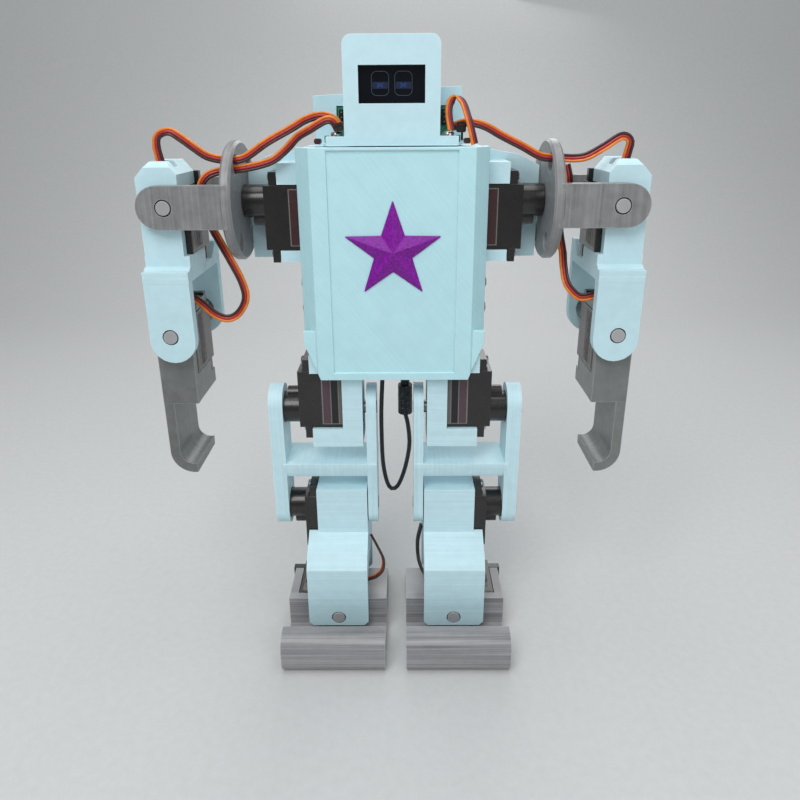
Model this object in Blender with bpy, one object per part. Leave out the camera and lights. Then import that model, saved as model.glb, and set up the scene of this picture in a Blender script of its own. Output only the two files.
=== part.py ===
"""Humanoid robot kit: printed frames and covers around fourteen hobby servos.

The robot stands on its soles at Z = 0 and faces -Y. Lengths below are millimetres in
the robot's own layout, whose Y = 0 is the plane of the two shoulder axes. The empty
"robot" carries everything BASE_Y further back, so the whole stands centred on the origin.
Every sided piece is laid out on the robot's left side (+X) and mirrored for the right.
"""
from math import cos, pi, radians, sin

import bmesh
import bpy
from mathutils import Matrix, Vector

MM = 0.001
GAP = 0.3                      # air between pieces that touch
BASE_Y = 3.6                   # shoulder plane behind the middle of the robot's depth

# Axes of the joints
SHOULDER_Z = 174.0
ROLL_X = 77.1                  # shoulder roll, along Y
ELBOW_X, ELBOW_Z = 80.0, 128.3
HIP_ROLL_X, HIP_ROLL_Z = 21.6, 128.6
LEG_Y = -7.7                   # hip pitch and knee, along X
HIP_Z = 95.5
KNEE_Z = 52.6
ANKLE_X, ANKLE_Z = 23.3, 10.5

# Micro servo: shaft axis at the origin, case bottom at z = 0, case running towards +x
CASE_NEAR, CASE_FAR = 5.9, 16.9
CASE_HALF = 6.1
CASE_TOP = 20.6
EAR_NEAR, EAR_FAR = 10.6, 21.6
EAR_LOW, EAR_HIGH = 15.9, 18.5
EAR_SCREW = 2.2                # screw hole, in from each ear's end
TOWER_TOP = 28.3
TOWER_R = 5.9
IDLER_R, IDLER_X, IDLER_TOP = 2.75, 6.1, 25.3
SPLINE_R, SPLINE_TOP = 2.4, 31.0

# Pins and holes
PIN_R = 2.45
PIN_SEAT_R = PIN_R + GAP
PIN_HOLE_R = 2.9
SPLINE_HOLE_R = SPLINE_R + GAP
SCREW_R = 1.1

# Arm
YOKE_IN, YOKE_OUT = 16.3, 20.3
YOKE_X = 54.1                  # inner face of the shoulder disc
DISC_R, DISC_THICK = 21.15, 3.8
YOKE_HALF = 7.35
LEAD_HOLE_R, LEAD_HOLE_Y, LEAD_HOLE_Z = 3.5, 9.2, 13.4
ARM_CASE_Y = -12.3             # case bottom of the roll and elbow servos
PLATE_Y = (-16.0, -12.6)       # front plate over those servos
EAR_SEAT_Y = ARM_CASE_Y + EAR_LOW - GAP
FORK_X = (71.2, 87.4)
FORK_R = 8.1
FOREARM_X = (74.0, 87.2)
HOOK_WALL = 3.8
HOOK_X, HOOK_Z = 78.4, 80.0

# Chest, head and back
COVER_X, COVER_FRONT = 32.8, -19.0
COVER_FACE_X, COVER_SIDE_Y = 27.7, -13.5
COVER_Z = (111.1, 193.1)
COVER_WALL = 1.9
COVER_STEP_Z = 127.7           # the sides end here and the front narrows below
STAR_Z, STAR_R, STAR_IN_R, STAR_HIGH = 158.5, 18.1, 7.15, 3.4
HEAD_X, HEAD_Y, HEAD_Z = 15.8, (-15.7, 5.0), (193.5, 227.4)
HEAD_ROUND = 3.0
FLANGE_X, FLANGE_Z = 22.0, 196.5
WINDOW_X, WINDOW_Z = 10.85, (206.7, 218.3)
BACK_X, BACK_Y, BACK_Z = (-27.5, 26.5), (9.9, 38.4), (152.0, 211.6)
BACK_TURN = 3.3                # the back shell sits a little askew
BACK_WALL = 2.0
BOARD_X, BOARD_Z = 20.2, (156.0, 206.2)

# Leg
LEG_CASE_X = 16.0              # case bottom of the hip and knee servos
LEG_IN, LEG_OUT = 12.3, 31.6
LEG_FRONT, LEG_BACK = -15.3, 0.7
LIP_X = 19.9
THIGH_R = 7.2
THIGH_Z = (51.6, 98.0)         # centres of its round ends
THIGH_OUTER = (42.9, 48.3)
THIGH_INNER = (7.2, 11.0)
BAR_Z = (71.3, 74.0)
ROLL_CASE_Y = -9.8             # case bottom of the hip roll servo
HIP_ARM_FRONT = (-16.4, -13.4)
HIP_ARM_BACK = (18.8, 22.0)
SHELF_Z = (112.7, 116.0)
BRACKET_X = (11.3, 35.3)
BRACKET_FRONT, BRACKET_BACK = -27.2, 12.9
BRACKET_WALL = 3.6
FOOT_X = (4.0, 43.9)
SOLE_TOP = 4.0
FOOT_BOX_Y = (-23.0, -3.7)
FOOT_BOX_TOP = 16.5
FOOT_CASE_Y = -19.3
TOE_Y, TOE_TOP = (-45.6, -37.6), 15.6

# Leads, as round cords: the routes run along the left side and are mirrored for the right
LEAD_R = 1.5
CORD_R = 0.9
PLUG_AT, PLUG_R = (4.0, 4.6), 2.9
ARM_ROUTES = {
    "left": {
        "shoulder_lead_a": [(57.4, -9.2, 188.9), (51, -9.2, 189.5), (44.5, -8.7, 192.8),
                            (37.2, -8, 196.4), (32, -8, 199.2), (28.2, -7.6, 200.4),
                            (24.5, -6.4, 200.6), (20.4, -5, 199.2)],
        "shoulder_lead_b": [(20, -12, 198.2), (19.2, -11, 203), (19.4, -10, 207.2),
                            (21.4, -8.6, 209.6), (24.1, -9.2, 207.9), (26.2, -11.8, 203),
                            (27.2, -12.6, 198), (27.8, -12.6, 194.4)],
        "roll_lead": [(58.5, -9.2, 189.0), (62, -9.8, 188.9), (66.1, -10.8, 189.6),
                      (71.5, -11, 192.6), (77.2, -10.8, 196.0), (80.4, -10.2, 194.6),
                      (80.2, -9.7, 191), (79.4, -9.1, 186.2)],
        "elbow_lead_a": [(59.7, -9.2, 186.8), (60.8, -9.4, 182.4), (61.2, -8, 178),
                         (60.6, -5.4, 171), (60.2, -3.4, 164.5), (61.9, -3.6, 156)],
        "elbow_lead_b": [(62.1, -3.7, 155.4), (62.2, -6.2, 150.4), (63.2, -9.6, 144.6),
                         (67.2, -12.0, 140.6), (72.2, -12.2, 141.0), (75.6, -10.4, 140.4),
                         (76.2, -9.1, 137)],
    },
    "right": {
        "shoulder_lead_a": [(57.4, -9.2, 188.9), (51, -9.2, 189.6), (43, -8.8, 194.6),
                            (34.3, -8, 199.2), (29.1, -8, 202.0), (23.5, -8.6, 203.4),
                            (19.4, -9.4, 201), (18.8, -9.6, 198.2)],
        "shoulder_lead_b": [(57.4, -9.2, 185.8), (51, -9.3, 186.2), (42, -9.2, 188.4),
                            (36.6, -8.8, 192.2), (32.4, -9.6, 196.2), (28, -11.4, 198.6),
                            (21.8, -12.8, 202), (19.0, -13.2, 200.8), (18.6, -13.2, 198.2)],
        "roll_lead": [(58.5, -9.2, 189.0), (62, -9.9, 189.8), (64.8, -10.6, 191.2),
                      (71.1, -11, 196), (75.2, -11, 198.4), (79.2, -10.6, 197),
                      (80.3, -10, 193.2), (79.4, -9.1, 186.2)],
        "elbow_lead_a": [(58.6, -9.2, 185.6), (63.6, -10.6, 184), (66.2, -11.2, 180.4),
                         (67, -9.5, 174), (66.2, -8.4, 169), (63.7, -8, 163.3),
                         (59.8, -8.6, 155.8)],
        "elbow_lead_b": [(59.6, -8.6, 155.2), (55.6, -9, 146.4), (54.6, -9, 139.8),
                         (57.5, -9, 134.3), (61.6, -9.4, 132.2), (66.3, -9.5, 133.8),
                         (71, -9.4, 138.2), (73.8, -9.2, 140), (76.1, -9.1, 138.6),
                         (76.2, -9.1, 137)],
    },
}
ANKLE_ROUTES = {
    "left": [(9.5, -2.8, 38), (9.1, -4.5, 31), (9.4, -8, 24.8), (11.2, -12.4, 21.4),
             (14.2, -15.8, 19), (15.2, -16.2, 13.4)],
    "right": [(9.5, -7.5, 36), (7.4, -10, 31.5), (5.4, -12.5, 27.5), (5.9, -14.8, 24),
              (8.6, -16, 21.8), (12.2, -16.2, 20.4), (14.9, -16.2, 17), (15.2, -16.2, 13.4)],
}

AXES = {"X": Matrix.Rotation(pi / 2, 4, "Y"), "Y": Matrix.Rotation(-pi / 2, 4, "X"),
        "Z": Matrix.Identity(4)}


# ---------------------------------------------------------------- shapes
def box(x, y, z):
    """A block between two x, two y and two z values."""
    def build(bm):
        made = bmesh.ops.create_cube(bm, size=1)["verts"]
        low, high = Vector((x[0], y[0], z[0])), Vector((x[1], y[1], z[1]))
        bmesh.ops.scale(bm, vec=high - low, verts=made)
        bmesh.ops.translate(bm, vec=(low + high) / 2, verts=made)
        return made
    return build


def cylinder(axis, radius, at, span, sides=24, rim=0.0):
    """A cylinder along an axis, its rims chamfered; at is its place in the other two axes."""
    def build(bm):
        made = bmesh.ops.create_cone(bm, cap_ends=True, segments=sides, depth=span[1] - span[0],
                                     radius1=radius, radius2=radius)["verts"]
        if rim:
            edges = {e for v in made for e in v.link_edges if e.verts[0].co.z == e.verts[1].co.z}
            cut = bmesh.ops.bevel(bm, geom=list(edges), offset=rim, segments=1, affect="EDGES")
            made = list({v for face in cut["faces"] for v in face.verts})
        along = "XYZ".index(axis)
        place = list(at)
        place.insert(along, (span[0] + span[1]) / 2)
        bmesh.ops.transform(bm, matrix=Matrix.Translation(place) @ AXES[axis], verts=made)
        return made
    return build


def prism(axis, outline, span):
    """A flat outline, in the two axes other than axis, drawn out between two values."""
    def build(bm):
        along = "XYZ".index(axis)
        points = []
        for point in outline:
            place = list(point)
            place.insert(along, span[0])
            points.append(bm.verts.new(place))
        edges = [bm.edges.new(pair) for pair in zip(points, points[1:] + points[:1])]
        face = bmesh.ops.contextual_create(bm, geom=edges)["faces"]
        grown = bmesh.ops.extrude_face_region(bm, geom=face, use_keep_orig=True)["geom"]
        far = [item for item in grown if isinstance(item, bmesh.types.BMVert)]
        step = Vector((0, 0, 0))
        step[along] = span[1] - span[0]
        bmesh.ops.translate(bm, vec=step, verts=far)
        made = points + far
        faces = list({f for vert in made for f in vert.link_faces})
        bmesh.ops.recalc_face_normals(bm, faces=faces)
        return made
    return build


def placed(matrix, shape):
    """A shape moved by a matrix; a mirroring one keeps its faces turned out."""
    def build(bm):
        made = shape(bm)
        bmesh.ops.transform(bm, matrix=matrix, verts=made)
        if matrix.determinant() < 0:
            faces = list({face for vert in made for face in vert.link_faces})
            bmesh.ops.reverse_faces(bm, faces=faces)
        return made
    return build


def both_sides(shapes):
    """The shapes of the left side and their mirror images."""
    mirror = Matrix.Scale(-1, 4, (1, 0, 0))
    return [made for shape in shapes for made in (shape, placed(mirror, shape))]


def arc(centre, radius, start, end, steps=6):
    """Points on an arc, from one angle to another in degrees."""
    turn = [radians(start + (end - start) * i / steps) for i in range(steps + 1)]
    return [(centre[0] + radius * cos(a), centre[1] + radius * sin(a)) for a in turn]


def stadium(axis, radius, low, high, span, steps=12):
    """A plate with round ends about two centres, one above the other."""
    outline = arc(low, radius, 180, 360, steps) + arc(high, radius, 0, 180, steps)
    return prism(axis, outline, span)


# ---------------------------------------------------------------- objects
def collection(name):
    """A new collection in the scene."""
    made = bpy.data.collections.new(name)
    bpy.context.scene.collection.children.link(made)
    return made


def material(name, colour, roughness, metallic=0.0):
    """A plain surface of one colour."""
    made = bpy.data.materials.new(name)
    made.use_nodes = True
    shader = made.node_tree.nodes["Principled BSDF"]
    shader.inputs["Base Color"].default_value = (*colour, 1)
    shader.inputs["Roughness"].default_value = roughness
    shader.inputs["Metallic"].default_value = metallic
    made.diffuse_color = (*colour, 1)
    return made


def pivot(name, place, parent=None):
    """An empty on a joint's axis, which carries what turns there."""
    empty = bpy.data.objects.new(name, None)
    PARTS.objects.link(empty)
    PLACES[empty] = Vector(place)
    empty.parent = parent
    start = PLACES[parent] if parent else Vector((0, 0, 0))
    empty.location = (PLACES[empty] - start) * MM
    return empty


def mesh_object(name, shapes, side, carrier, group):
    """One mesh of the given shapes; side -1 mirrors it to the robot's right."""
    bm = bmesh.new()
    for shape in shapes:
        shape(bm)
    bmesh.ops.scale(bm, vec=Vector((side, 1, 1)) * MM, verts=bm.verts)
    if side < 0:
        bmesh.ops.reverse_faces(bm, faces=bm.faces)
    mesh = bpy.data.meshes.new(name)
    bm.to_mesh(mesh)
    bm.free()
    mesh.shade_smooth()
    mesh.set_sharp_from_angle(angle=radians(38))
    obj = bpy.data.objects.new(name, mesh)
    group.objects.link(obj)
    obj.parent = carrier
    obj.location = -PLACES[carrier] * MM
    return obj


def part(name, finish, carrier, add, cut=(), side=1):
    """A sub-part: its first shape, joined with the others, less the cutters."""
    obj = mesh_object(name, add[:1], side, carrier, PARTS)
    obj.data.materials.append(finish)
    for word, operation, shapes in (("adds", "UNION", add[1:]), ("cuts", "DIFFERENCE", cut)):
        if shapes:
            helper = mesh_object(f"{name}_{word}", shapes, side, carrier, CUTTERS)
            helper.hide_render = True
            helper.display_type = "WIRE"
            boolean = obj.modifiers.new(word, "BOOLEAN")
            boolean.operation = operation
            boolean.solver = "EXACT"
            boolean.use_self = True
            boolean.object = helper
    return obj


def smooth_route(route, spacing):
    """Evenly spaced points on a smooth curve through a route's own points."""
    points = [Vector(p) for p in route]
    ends = [2 * points[0] - points[1]] + points + [2 * points[-1] - points[-2]]
    fine = []
    for a, b, c, d in zip(ends, ends[1:], ends[2:], ends[3:]):
        for i in range(20):
            t = i / 20
            fine.append(0.5 * (2 * b + (c - a) * t + (2 * a - 5 * b + 4 * c - d) * t ** 2
                               + (3 * b - a - 3 * c + d) * t ** 3))
    fine.append(points[-1])
    length = sum((b - a).length for a, b in zip(fine, fine[1:]))
    count = max(4, round(length / spacing))
    even, walked, target = [fine[0]], 0.0, length / count
    for a, b in zip(fine, fine[1:]):
        step = (b - a).length
        while walked + step >= target * len(even) and len(even) < count:
            even.append(a.lerp(b, (target * len(even) - walked) / step))
        walked += step
    return even + [fine[-1]]


def lead(name, finish, carrier, route, radius):
    """A cord along a route, as a plain tube with closed ends."""
    curve = bpy.data.curves.new(name, "CURVE")
    curve.dimensions = "3D"
    curve.bevel_depth = radius * MM
    curve.bevel_resolution = 2
    curve.use_fill_caps = True
    points = smooth_route(route, 4 * radius)
    spline = curve.splines.new("POLY")
    spline.points.add(len(points) - 1)
    for knot, place in zip(spline.points, points):
        knot.co = (*(place * MM), 1)
    curve.materials.append(finish)
    obj = bpy.data.objects.new(name, curve)
    PARTS.objects.link(obj)
    obj.parent = carrier
    obj.location = -PLACES[carrier] * MM
    return obj


# ---------------------------------------------------------------- servo
def servo_frame(origin, shaft, far):
    """A servo's place: its case bottom on the shaft axis, shaft and far-end directions."""
    z, x = Vector(shaft), Vector(far)
    y = z.cross(x)
    turn = Matrix((x, y, z)).transposed().to_4x4()
    return Matrix.Translation(origin) @ turn


def servo(name, carrier, frame, side, exit_stub=True):
    """A micro servo: case, mounting ears, gear tower, output spline and lead exit."""
    solids = [
        box((-CASE_NEAR, CASE_FAR), (-CASE_HALF, CASE_HALF), (0, CASE_TOP)),
        box((-EAR_NEAR, EAR_FAR), (-CASE_HALF + 0.2, CASE_HALF - 0.2), (EAR_LOW, EAR_HIGH)),
        cylinder("Z", TOWER_R, (0, 0), (CASE_TOP - 1, TOWER_TOP), 20),
        cylinder("Z", IDLER_R, (IDLER_X, 0), (CASE_TOP - 2, IDLER_TOP), 12),
        cylinder("Z", SPLINE_R, (0, 0), (TOWER_TOP - 1, SPLINE_TOP), 12),
    ]
    if exit_stub:
        solids.append(box((-CASE_NEAR - 1.2, -CASE_NEAR + 1), (-2.1, 2.1), (1.6, 4.2)))
    holes = [cylinder("Z", SCREW_R, (x, 0), (EAR_LOW - 2, EAR_HIGH + 2), 8)
             for x in (-EAR_NEAR + EAR_SCREW, EAR_FAR - EAR_SCREW)]
    part(name, SERVO, carrier, [placed(frame, solid) for solid in solids],
         [placed(frame, hole) for hole in holes], side)


# ---------------------------------------------------------------- torso
def torso_frame():
    """Deck, back plate, shoulder wings with their servo blocks, and the hip servo cradle."""
    half = COVER_X - COVER_WALL - GAP
    back = (6.6, 9.6)
    wing = [(-20, 152), (53.6, 152), (53.6, 185.6), (46.0, 189.6), (31.5, 192.0), (-20, 192.0)]
    deck = [(-half, 9.6), (-half, -12.8), (-half + 3.9, -16.4), (half - 3.9, -16.4),
            (half, -12.8), (half, 9.6)]
    lug = 6.2
    sided = [
        prism("Y", wing, back),
        box((COVER_X - 1.2, 41.1), (-CASE_HALF, 8.0), (180.2, 187.6)),
        box((COVER_X - 1.2, 41.1), (-CASE_HALF, 8.0), (152.6, 156.8)),
        box((HIP_ROLL_X - lug, HIP_ROLL_X + lug), (-13.0, -10.1), (HIP_ROLL_Z - lug, 141)),
        cylinder("Y", 1.5, (HIP_ROLL_X, HIP_ROLL_Z), (-16.2, -12), 12),
        box((COVER_X - 5, half), (-13.1, 5.6), (134.4, 151.5)),
    ]
    add = [
        prism("Z", deck, (190.2, COVER_Z[1])),
        box((-half, half), (6.7, 9.4), (151.0, 191.0)),
        box((-half, half), (2.9, 9.3), (150.7, 153.4)),
        box((-half, half), (2.8, 5.8), (121.8, 152.6)),
        box((-half, half), (-12.9, 5.6), (148.6, 151.4)),
        box((-half, half), (-13.1, -10.1), (134.4, 150.2)),
    ] + both_sides(sided)
    case = (HIP_ROLL_X - CASE_HALF - GAP, HIP_ROLL_X + CASE_HALF + GAP)
    cut = both_sides([
        box(case, (-9.9, 7.0), (HIP_ROLL_Z - 13, HIP_ROLL_Z + CASE_FAR + GAP)),
        cylinder("X", SCREW_R, (0, 182.4), (38, 44), 8),
        cylinder("X", SCREW_R, (0, 154.6), (38, 44), 8),
        box((6, 24), (-12.0, 4.0), (189, 195)),
    ])
    part("torso_frame", PALE, ROBOT, add, cut)


def chest_cover():
    """A bent plate over the chest, cut away below for the hips, with a recess for the star."""
    x, step = COVER_X, COVER_STEP_Z
    side_y, face_x = COVER_SIDE_Y, COVER_FACE_X
    outer = [(-x, -6.6), (-x, side_y), (-face_x, COVER_FRONT), (face_x, COVER_FRONT),
             (x, side_y), (x, -6.6)]
    wall = COVER_WALL
    inner = [(-x + wall, 5), (-x + wall, side_y + 0.4), (-face_x + 0.6, COVER_FRONT + wall + 0.2),
             (face_x - 0.6, COVER_FRONT + wall + 0.2), (x - wall, side_y + 0.4), (x - wall, 5)]
    low, high = COVER_Z
    side_back = box((x - wall, x), (-8.0, 2.6), (step, 148.2))
    corner = [(x + 0.6, step - 0.8), (26.8, low - 0.5), (26.8, low - 6), (40, low - 6),
              (40, step - 0.8)]
    flare = prism("Y", [(26, low + 2), (26, step + 2), (x - 0.1, step + 2), (x - 0.1, low + 2)],
                  (COVER_FRONT + 0.8, COVER_FRONT + wall + 0.6))
    add = [prism("Z", outer, COVER_Z)] + both_sides([side_back, flare])
    cut = [
        prism("Z", inner, (low - 5, high + 5)),
        box((-40, 40), (COVER_FRONT + wall + 0.2, 20), (low - 5, step)),
        box((-22, 22), (COVER_FRONT - 1, COVER_FRONT + 0.8), (113.8, 192.2)),
    ] + both_sides([
        prism("Y", corner, (-30, 20)),
        cylinder("X", SCREW_R, (-4.5, 144.6), (25, 35), 8),
        cylinder("X", SCREW_R, (-4.5, 135.0), (25, 35), 8),
    ])
    part("chest_cover", PALE, ROBOT, add, cut)


def chest_star():
    """A five-pointed star: a ten-sided cone whose every other corner is drawn in."""
    face = COVER_FRONT + 0.8 - GAP

    def star(bm):
        made = bmesh.ops.create_cone(bm, cap_ends=True, segments=10, radius1=STAR_R,
                                     radius2=0, depth=STAR_HIGH)["verts"]
        rim = sorted((v for v in made if v.co.z < 0), key=lambda v: v.co.xy.angle_signed((0, 1)))
        first = min(range(len(rim)), key=lambda i: abs(rim[i].co.x) - rim[i].co.y)
        for i, vert in enumerate(rim):
            if (i - first) % 2:
                vert.co.xy *= STAR_IN_R / STAR_R
        turn = Matrix.Rotation(pi / 2, 4, "X")
        place = Matrix.Translation((0, face - STAR_HIGH / 2, STAR_Z))
        bmesh.ops.transform(bm, matrix=place @ turn, verts=made)
        return made

    part("chest_star", PURPLE, ROBOT, [star])


def head_shell():
    """A hollow box with round top corners, a window, and a flange screwed to the deck."""
    x, (front, back), (low, high) = HEAD_X, HEAD_Y, HEAD_Z
    r = HEAD_ROUND
    outline = ([(x, low)] + arc((x - r, high - r), r, 0, 90, 5)
               + arc((-x + r, high - r), r, 90, 180, 5) + [(-x, low)])
    wall = 1.8
    add = [prism("Y", outline, HEAD_Y),
           box((-FLANGE_X, FLANGE_X), (front, -2.5), (low, FLANGE_Z))]
    cut = [box((-x + wall, x - wall), (front + wall, back - wall), (low - 5, high - wall)),
           box((-WINDOW_X, WINDOW_X), (front - 5, front + wall + 1), WINDOW_Z),
           box((-5, 5), (back - wall - 1, back + 5), (low - 5, 205))]
    cut += both_sides([cylinder("Z", SCREW_R, (18.9, -9), (low - 5, FLANGE_Z + 5), 12)])
    part("head_shell", PALE, ROBOT, add, cut)


def face_display():
    """A small display and its board, just behind the window."""
    glass_front = HEAD_Y[0] + 1.8 + GAP
    part("face_display", GLASS, ROBOT, [
        box((-12.6, 12.6), (glass_front, glass_front + 1.6), (204.2, 220.2)),
        box((-13.4, 13.4), (glass_front + 1.4, glass_front + 2.8), (198.4, 224.6)),
    ])


def back_shell():
    """A box for the battery: an opening in front for the board, and a slot low at the rear."""
    (left, right), (front, back), (low, high) = BACK_X, BACK_Y, BACK_Z
    wall = BACK_WALL
    middle = Vector(((left + right) / 2, 0, (low + high) / 2))
    askew = (Matrix.Translation(middle) @ Matrix.Rotation(radians(-BACK_TURN), 4, "Y")
             @ Matrix.Translation(-middle))
    board = box((-BOARD_X - GAP, BOARD_X + GAP), (front - 5, front + wall + 1),
                (BOARD_Z[0] - GAP, BOARD_Z[1] + GAP))
    part("back_shell", PALE, ROBOT, [placed(askew, box(BACK_X, BACK_Y, BACK_Z))], [
        placed(askew, box((left + wall, right - wall), (front + wall, back - wall),
                          (low + wall, high - wall))),
        placed(askew, box((-13, 10), (back - 5, back + 5), (low + 6, low + 16))),
        board,
    ])


def electronics():
    """The upright board behind the head and chest, and the battery behind it."""
    part("control_board", BOARD, ROBOT, [
        box((-BOARD_X, BOARD_X), (10.2, 11.8), BOARD_Z),
        box((-9.0, 9.0), (11.5, 16.6), (193.6, 203.6)),
    ])
    part("battery_pack", BATTERY, ROBOT, [box((-22.0, 20.0), (14.4, 27.0), (157, 191))])


def power_cord():
    """A connector hanging under the torso, and the slack cord that loops up into it."""
    x, y = PLUG_AT
    part("power_plug", BLACK, ROBOT, [
        cylinder("Z", PLUG_R, PLUG_AT, (87.2, 99.8), 20),
        cylinder("Z", 1.8, PLUG_AT, (99, 121.4), 12),
    ])
    route = [(-4.2, y, 121), (-5.0, y, 106), (-5.8, y, 90), (-5.9, y, 78), (-5.5, y, 64),
             (-3.9, y, 54.4), (-1.8, y, 51), (1.0, y, 53), (3.9, y, 61.4), (5.7, y, 72),
             (5.2, y, 81), (x, y, 86.8)]
    lead("power_lead", BLACK, ROBOT, route, CORD_R)


# ---------------------------------------------------------------- arms
def shoulder(word, side, torso_side):
    """The servo in the torso that turns the whole arm."""
    frame = servo_frame((YOKE_X - GAP - TOWER_TOP, 0, SHOULDER_Z), (1, 0, 0), (0, 0, -1))
    servo(f"{word}_shoulder_servo", torso_side, frame, side)


def shoulder_yoke(word, side, carrier):
    """The disc on the shoulder servo, with two arms that hold the upper arm's roll axis."""
    x, disc = YOKE_X, (0, SHOULDER_Z)
    tip = (ROLL_X + 2.0, SHOULDER_Z)
    arm_outline = [(x + 2, SHOULDER_Z - YOKE_HALF)] + arc(tip, YOKE_HALF, -90, 90, 14)
    arm_outline.append((x + 2, SHOULDER_Z + YOKE_HALF))
    add = [cylinder("X", DISC_R, disc, (x, x + DISC_THICK), 48, 0.8)]
    add += [prism("Y", arm_outline, y) for y in ((-YOKE_OUT, -YOKE_IN), (YOKE_IN, YOKE_OUT))]
    cut = [cylinder("X", SPLINE_HOLE_R, disc, (x - 5, x + 9), 12),
           cylinder("Y", PIN_HOLE_R, (ROLL_X, SHOULDER_Z), (-30, 0), 20),
           cylinder("Y", SPLINE_HOLE_R, (ROLL_X, SHOULDER_Z), (0, 30), 12)]
    cut += [cylinder("X", LEAD_HOLE_R, (y, SHOULDER_Z + z), (x - 5, x + 9), 16)
            for y in (-LEAD_HOLE_Y, LEAD_HOLE_Y) for z in (-LEAD_HOLE_Z, LEAD_HOLE_Z)]
    part(f"{word}_shoulder_yoke", GREY, carrier, add, cut, side)


def upper_arm(word, side, carrier):
    """A shell round the roll servo, open towards the body, ending in the elbow fork."""
    left, right = FORK_X
    seat, front = EAR_SEAT_Y, PLATE_Y[0]
    sole, case_end = 148.0, SHOULDER_Z - CASE_FAR - GAP
    wall_x = ROLL_X + CASE_HALF + GAP
    roof = [(72.8, 175.0), (72.8, 184.6), (76.2, 188.8), (82.2, 188.8), (87.0, 183.6),
            (87.0, 175.0)]
    rear_step = [(seat - 2, sole), (YOKE_OUT, sole), (YOKE_OUT, 156.6), (YOKE_IN, 156.6),
                 (10.5, 151.0), (seat - 2, 151.0)]
    front_step = [(-YOKE_OUT, sole), (-YOKE_OUT, 149.8), (front - 0.6, 153.2), (-13.0, 153.2),
                  (-13.0, sole)]
    middle = (left + right) / 2
    finger = [(right, 152.0), (left, 152.0)] + arc((middle, 126.7), FORK_R, 180, 360, 12)
    add = [
        prism("Y", roof, (front, seat)),
        box((73.2, 86.9), (front, -12.0), (sole + 1, 180)),
        box((wall_x, 86.9), (front + 0.1, seat - 0.1), (sole + 1, 180)),
        box((left + 0.2, right - 0.2), (front + 0.2, seat - 0.2), (sole, case_end)),
        prism("X", front_step, (left + 0.1, right - 0.1)),
        prism("X", rear_step, (left + 0.1, right - 0.1)),
        prism("Y", finger, (-YOKE_OUT + 0.1, -YOKE_IN - 0.1)),
        prism("Y", finger, (YOKE_IN + 0.1, YOKE_OUT - 0.1)),
    ]
    front_slope = [(front - 1, 186.2), (-11.0, 191), (front - 1, 191)]
    cut = [
        box((60, wall_x), (ARM_CASE_Y - GAP, 9), (case_end, SHOULDER_Z + CASE_NEAR + GAP)),
        cylinder("Y", PIN_SEAT_R, (ROLL_X, SHOULDER_Z), (-30, 0), 20),
        cylinder("Y", PIN_HOLE_R, (ELBOW_X, ELBOW_Z), (-30, 0), 20),
        cylinder("Y", SPLINE_HOLE_R, (ELBOW_X, ELBOW_Z), (0, 30), 12),
        box((74.7, 81.7), (-11.4, -6.8), (SHOULDER_Z, 200)),
        prism("X", front_slope, (60, 100)),
    ]
    part(f"{word}_upper_arm", PALE, carrier, add, cut, side)


def forearm(word, side, carrier):
    """A shell over the elbow servo that ends in an open hook for a hand."""
    left, right = FOREARM_X
    seat, front = EAR_SEAT_Y, PLATE_Y[0]
    centre, root = (HOOK_X, HOOK_Z), 103.0
    outer_r = right - HOOK_X
    hook = ([(right, root), (right, HOOK_Z)] + arc(centre, outer_r, 0, -97, 9)
            + arc(centre, outer_r - HOOK_WALL, -104, 0, 9) + [(right - HOOK_WALL, root)])
    near, far = ELBOW_Z + CASE_NEAR + GAP, ELBOW_Z - CASE_FAR - GAP
    top = near + 3.4
    add = [
        box(FOREARM_X, PLATE_Y, (100.6, top)),
        box((left, right), (front + 0.1, seat), (near, top - 0.1)),
        box((left, right), (front + 0.1, seat), (100.7, far)),
        box((left, right), (front + 0.1, 8.0), (100.7, ELBOW_Z - EAR_FAR - GAP)),
        prism("Y", hook, (front + 0.1, 7.9)),
    ]
    cut = [
        cylinder("Y", PIN_SEAT_R, (ELBOW_X, ELBOW_Z), (-30, 0), 20),
        box((60, ELBOW_X + 2.6), (-11.4, -6.8), (near - 1, near + 9)),
    ]
    part(f"{word}_forearm_hook", GREY, carrier, add, cut, side)


def arm(word, side):
    """One arm: the pieces between the shoulder, roll and elbow axes, and their leads."""
    pitch = pivot(f"{word}_shoulder_pitch", (side * YOKE_X, 0, SHOULDER_Z), ROBOT)
    roll = pivot(f"{word}_shoulder_roll", (side * ROLL_X, 0, SHOULDER_Z), pitch)
    elbow = pivot(f"{word}_elbow", (side * ELBOW_X, 0, ELBOW_Z), roll)
    shoulder(word, side, ROBOT)
    shoulder_yoke(word, side, pitch)
    upper_arm(word, side, roll)
    down = (0, 0, -1)
    servo(f"{word}_arm_servo", roll,
          servo_frame((ROLL_X, ARM_CASE_Y, SHOULDER_Z), (0, 1, 0), down), side)
    part(f"{word}_shoulder_pin", GREY, roll,
         [cylinder("Y", PIN_R, (ROLL_X, SHOULDER_Z), (-YOKE_OUT - 0.3, -12.8), 20)], (), side)
    forearm(word, side, elbow)
    servo(f"{word}_elbow_servo", elbow,
          servo_frame((ELBOW_X, ARM_CASE_Y, ELBOW_Z), (0, 1, 0), down), side)
    part(f"{word}_elbow_pin", GREY, elbow,
         [cylinder("Y", PIN_R, (ELBOW_X, ELBOW_Z), (-YOKE_OUT - 0.2, -12.8), 20)], (), side)
    holders = {"shoulder_lead_a": ROBOT, "shoulder_lead_b": ROBOT, "roll_lead": pitch,
               "elbow_lead_a": pitch, "elbow_lead_b": roll}
    for name, carrier in holders.items():
        route = [(side * x, y, z) for x, y, z in ARM_ROUTES[word][name]]
        lead(f"{word}_{name}", ORANGE, carrier, route, LEAD_R)


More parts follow.
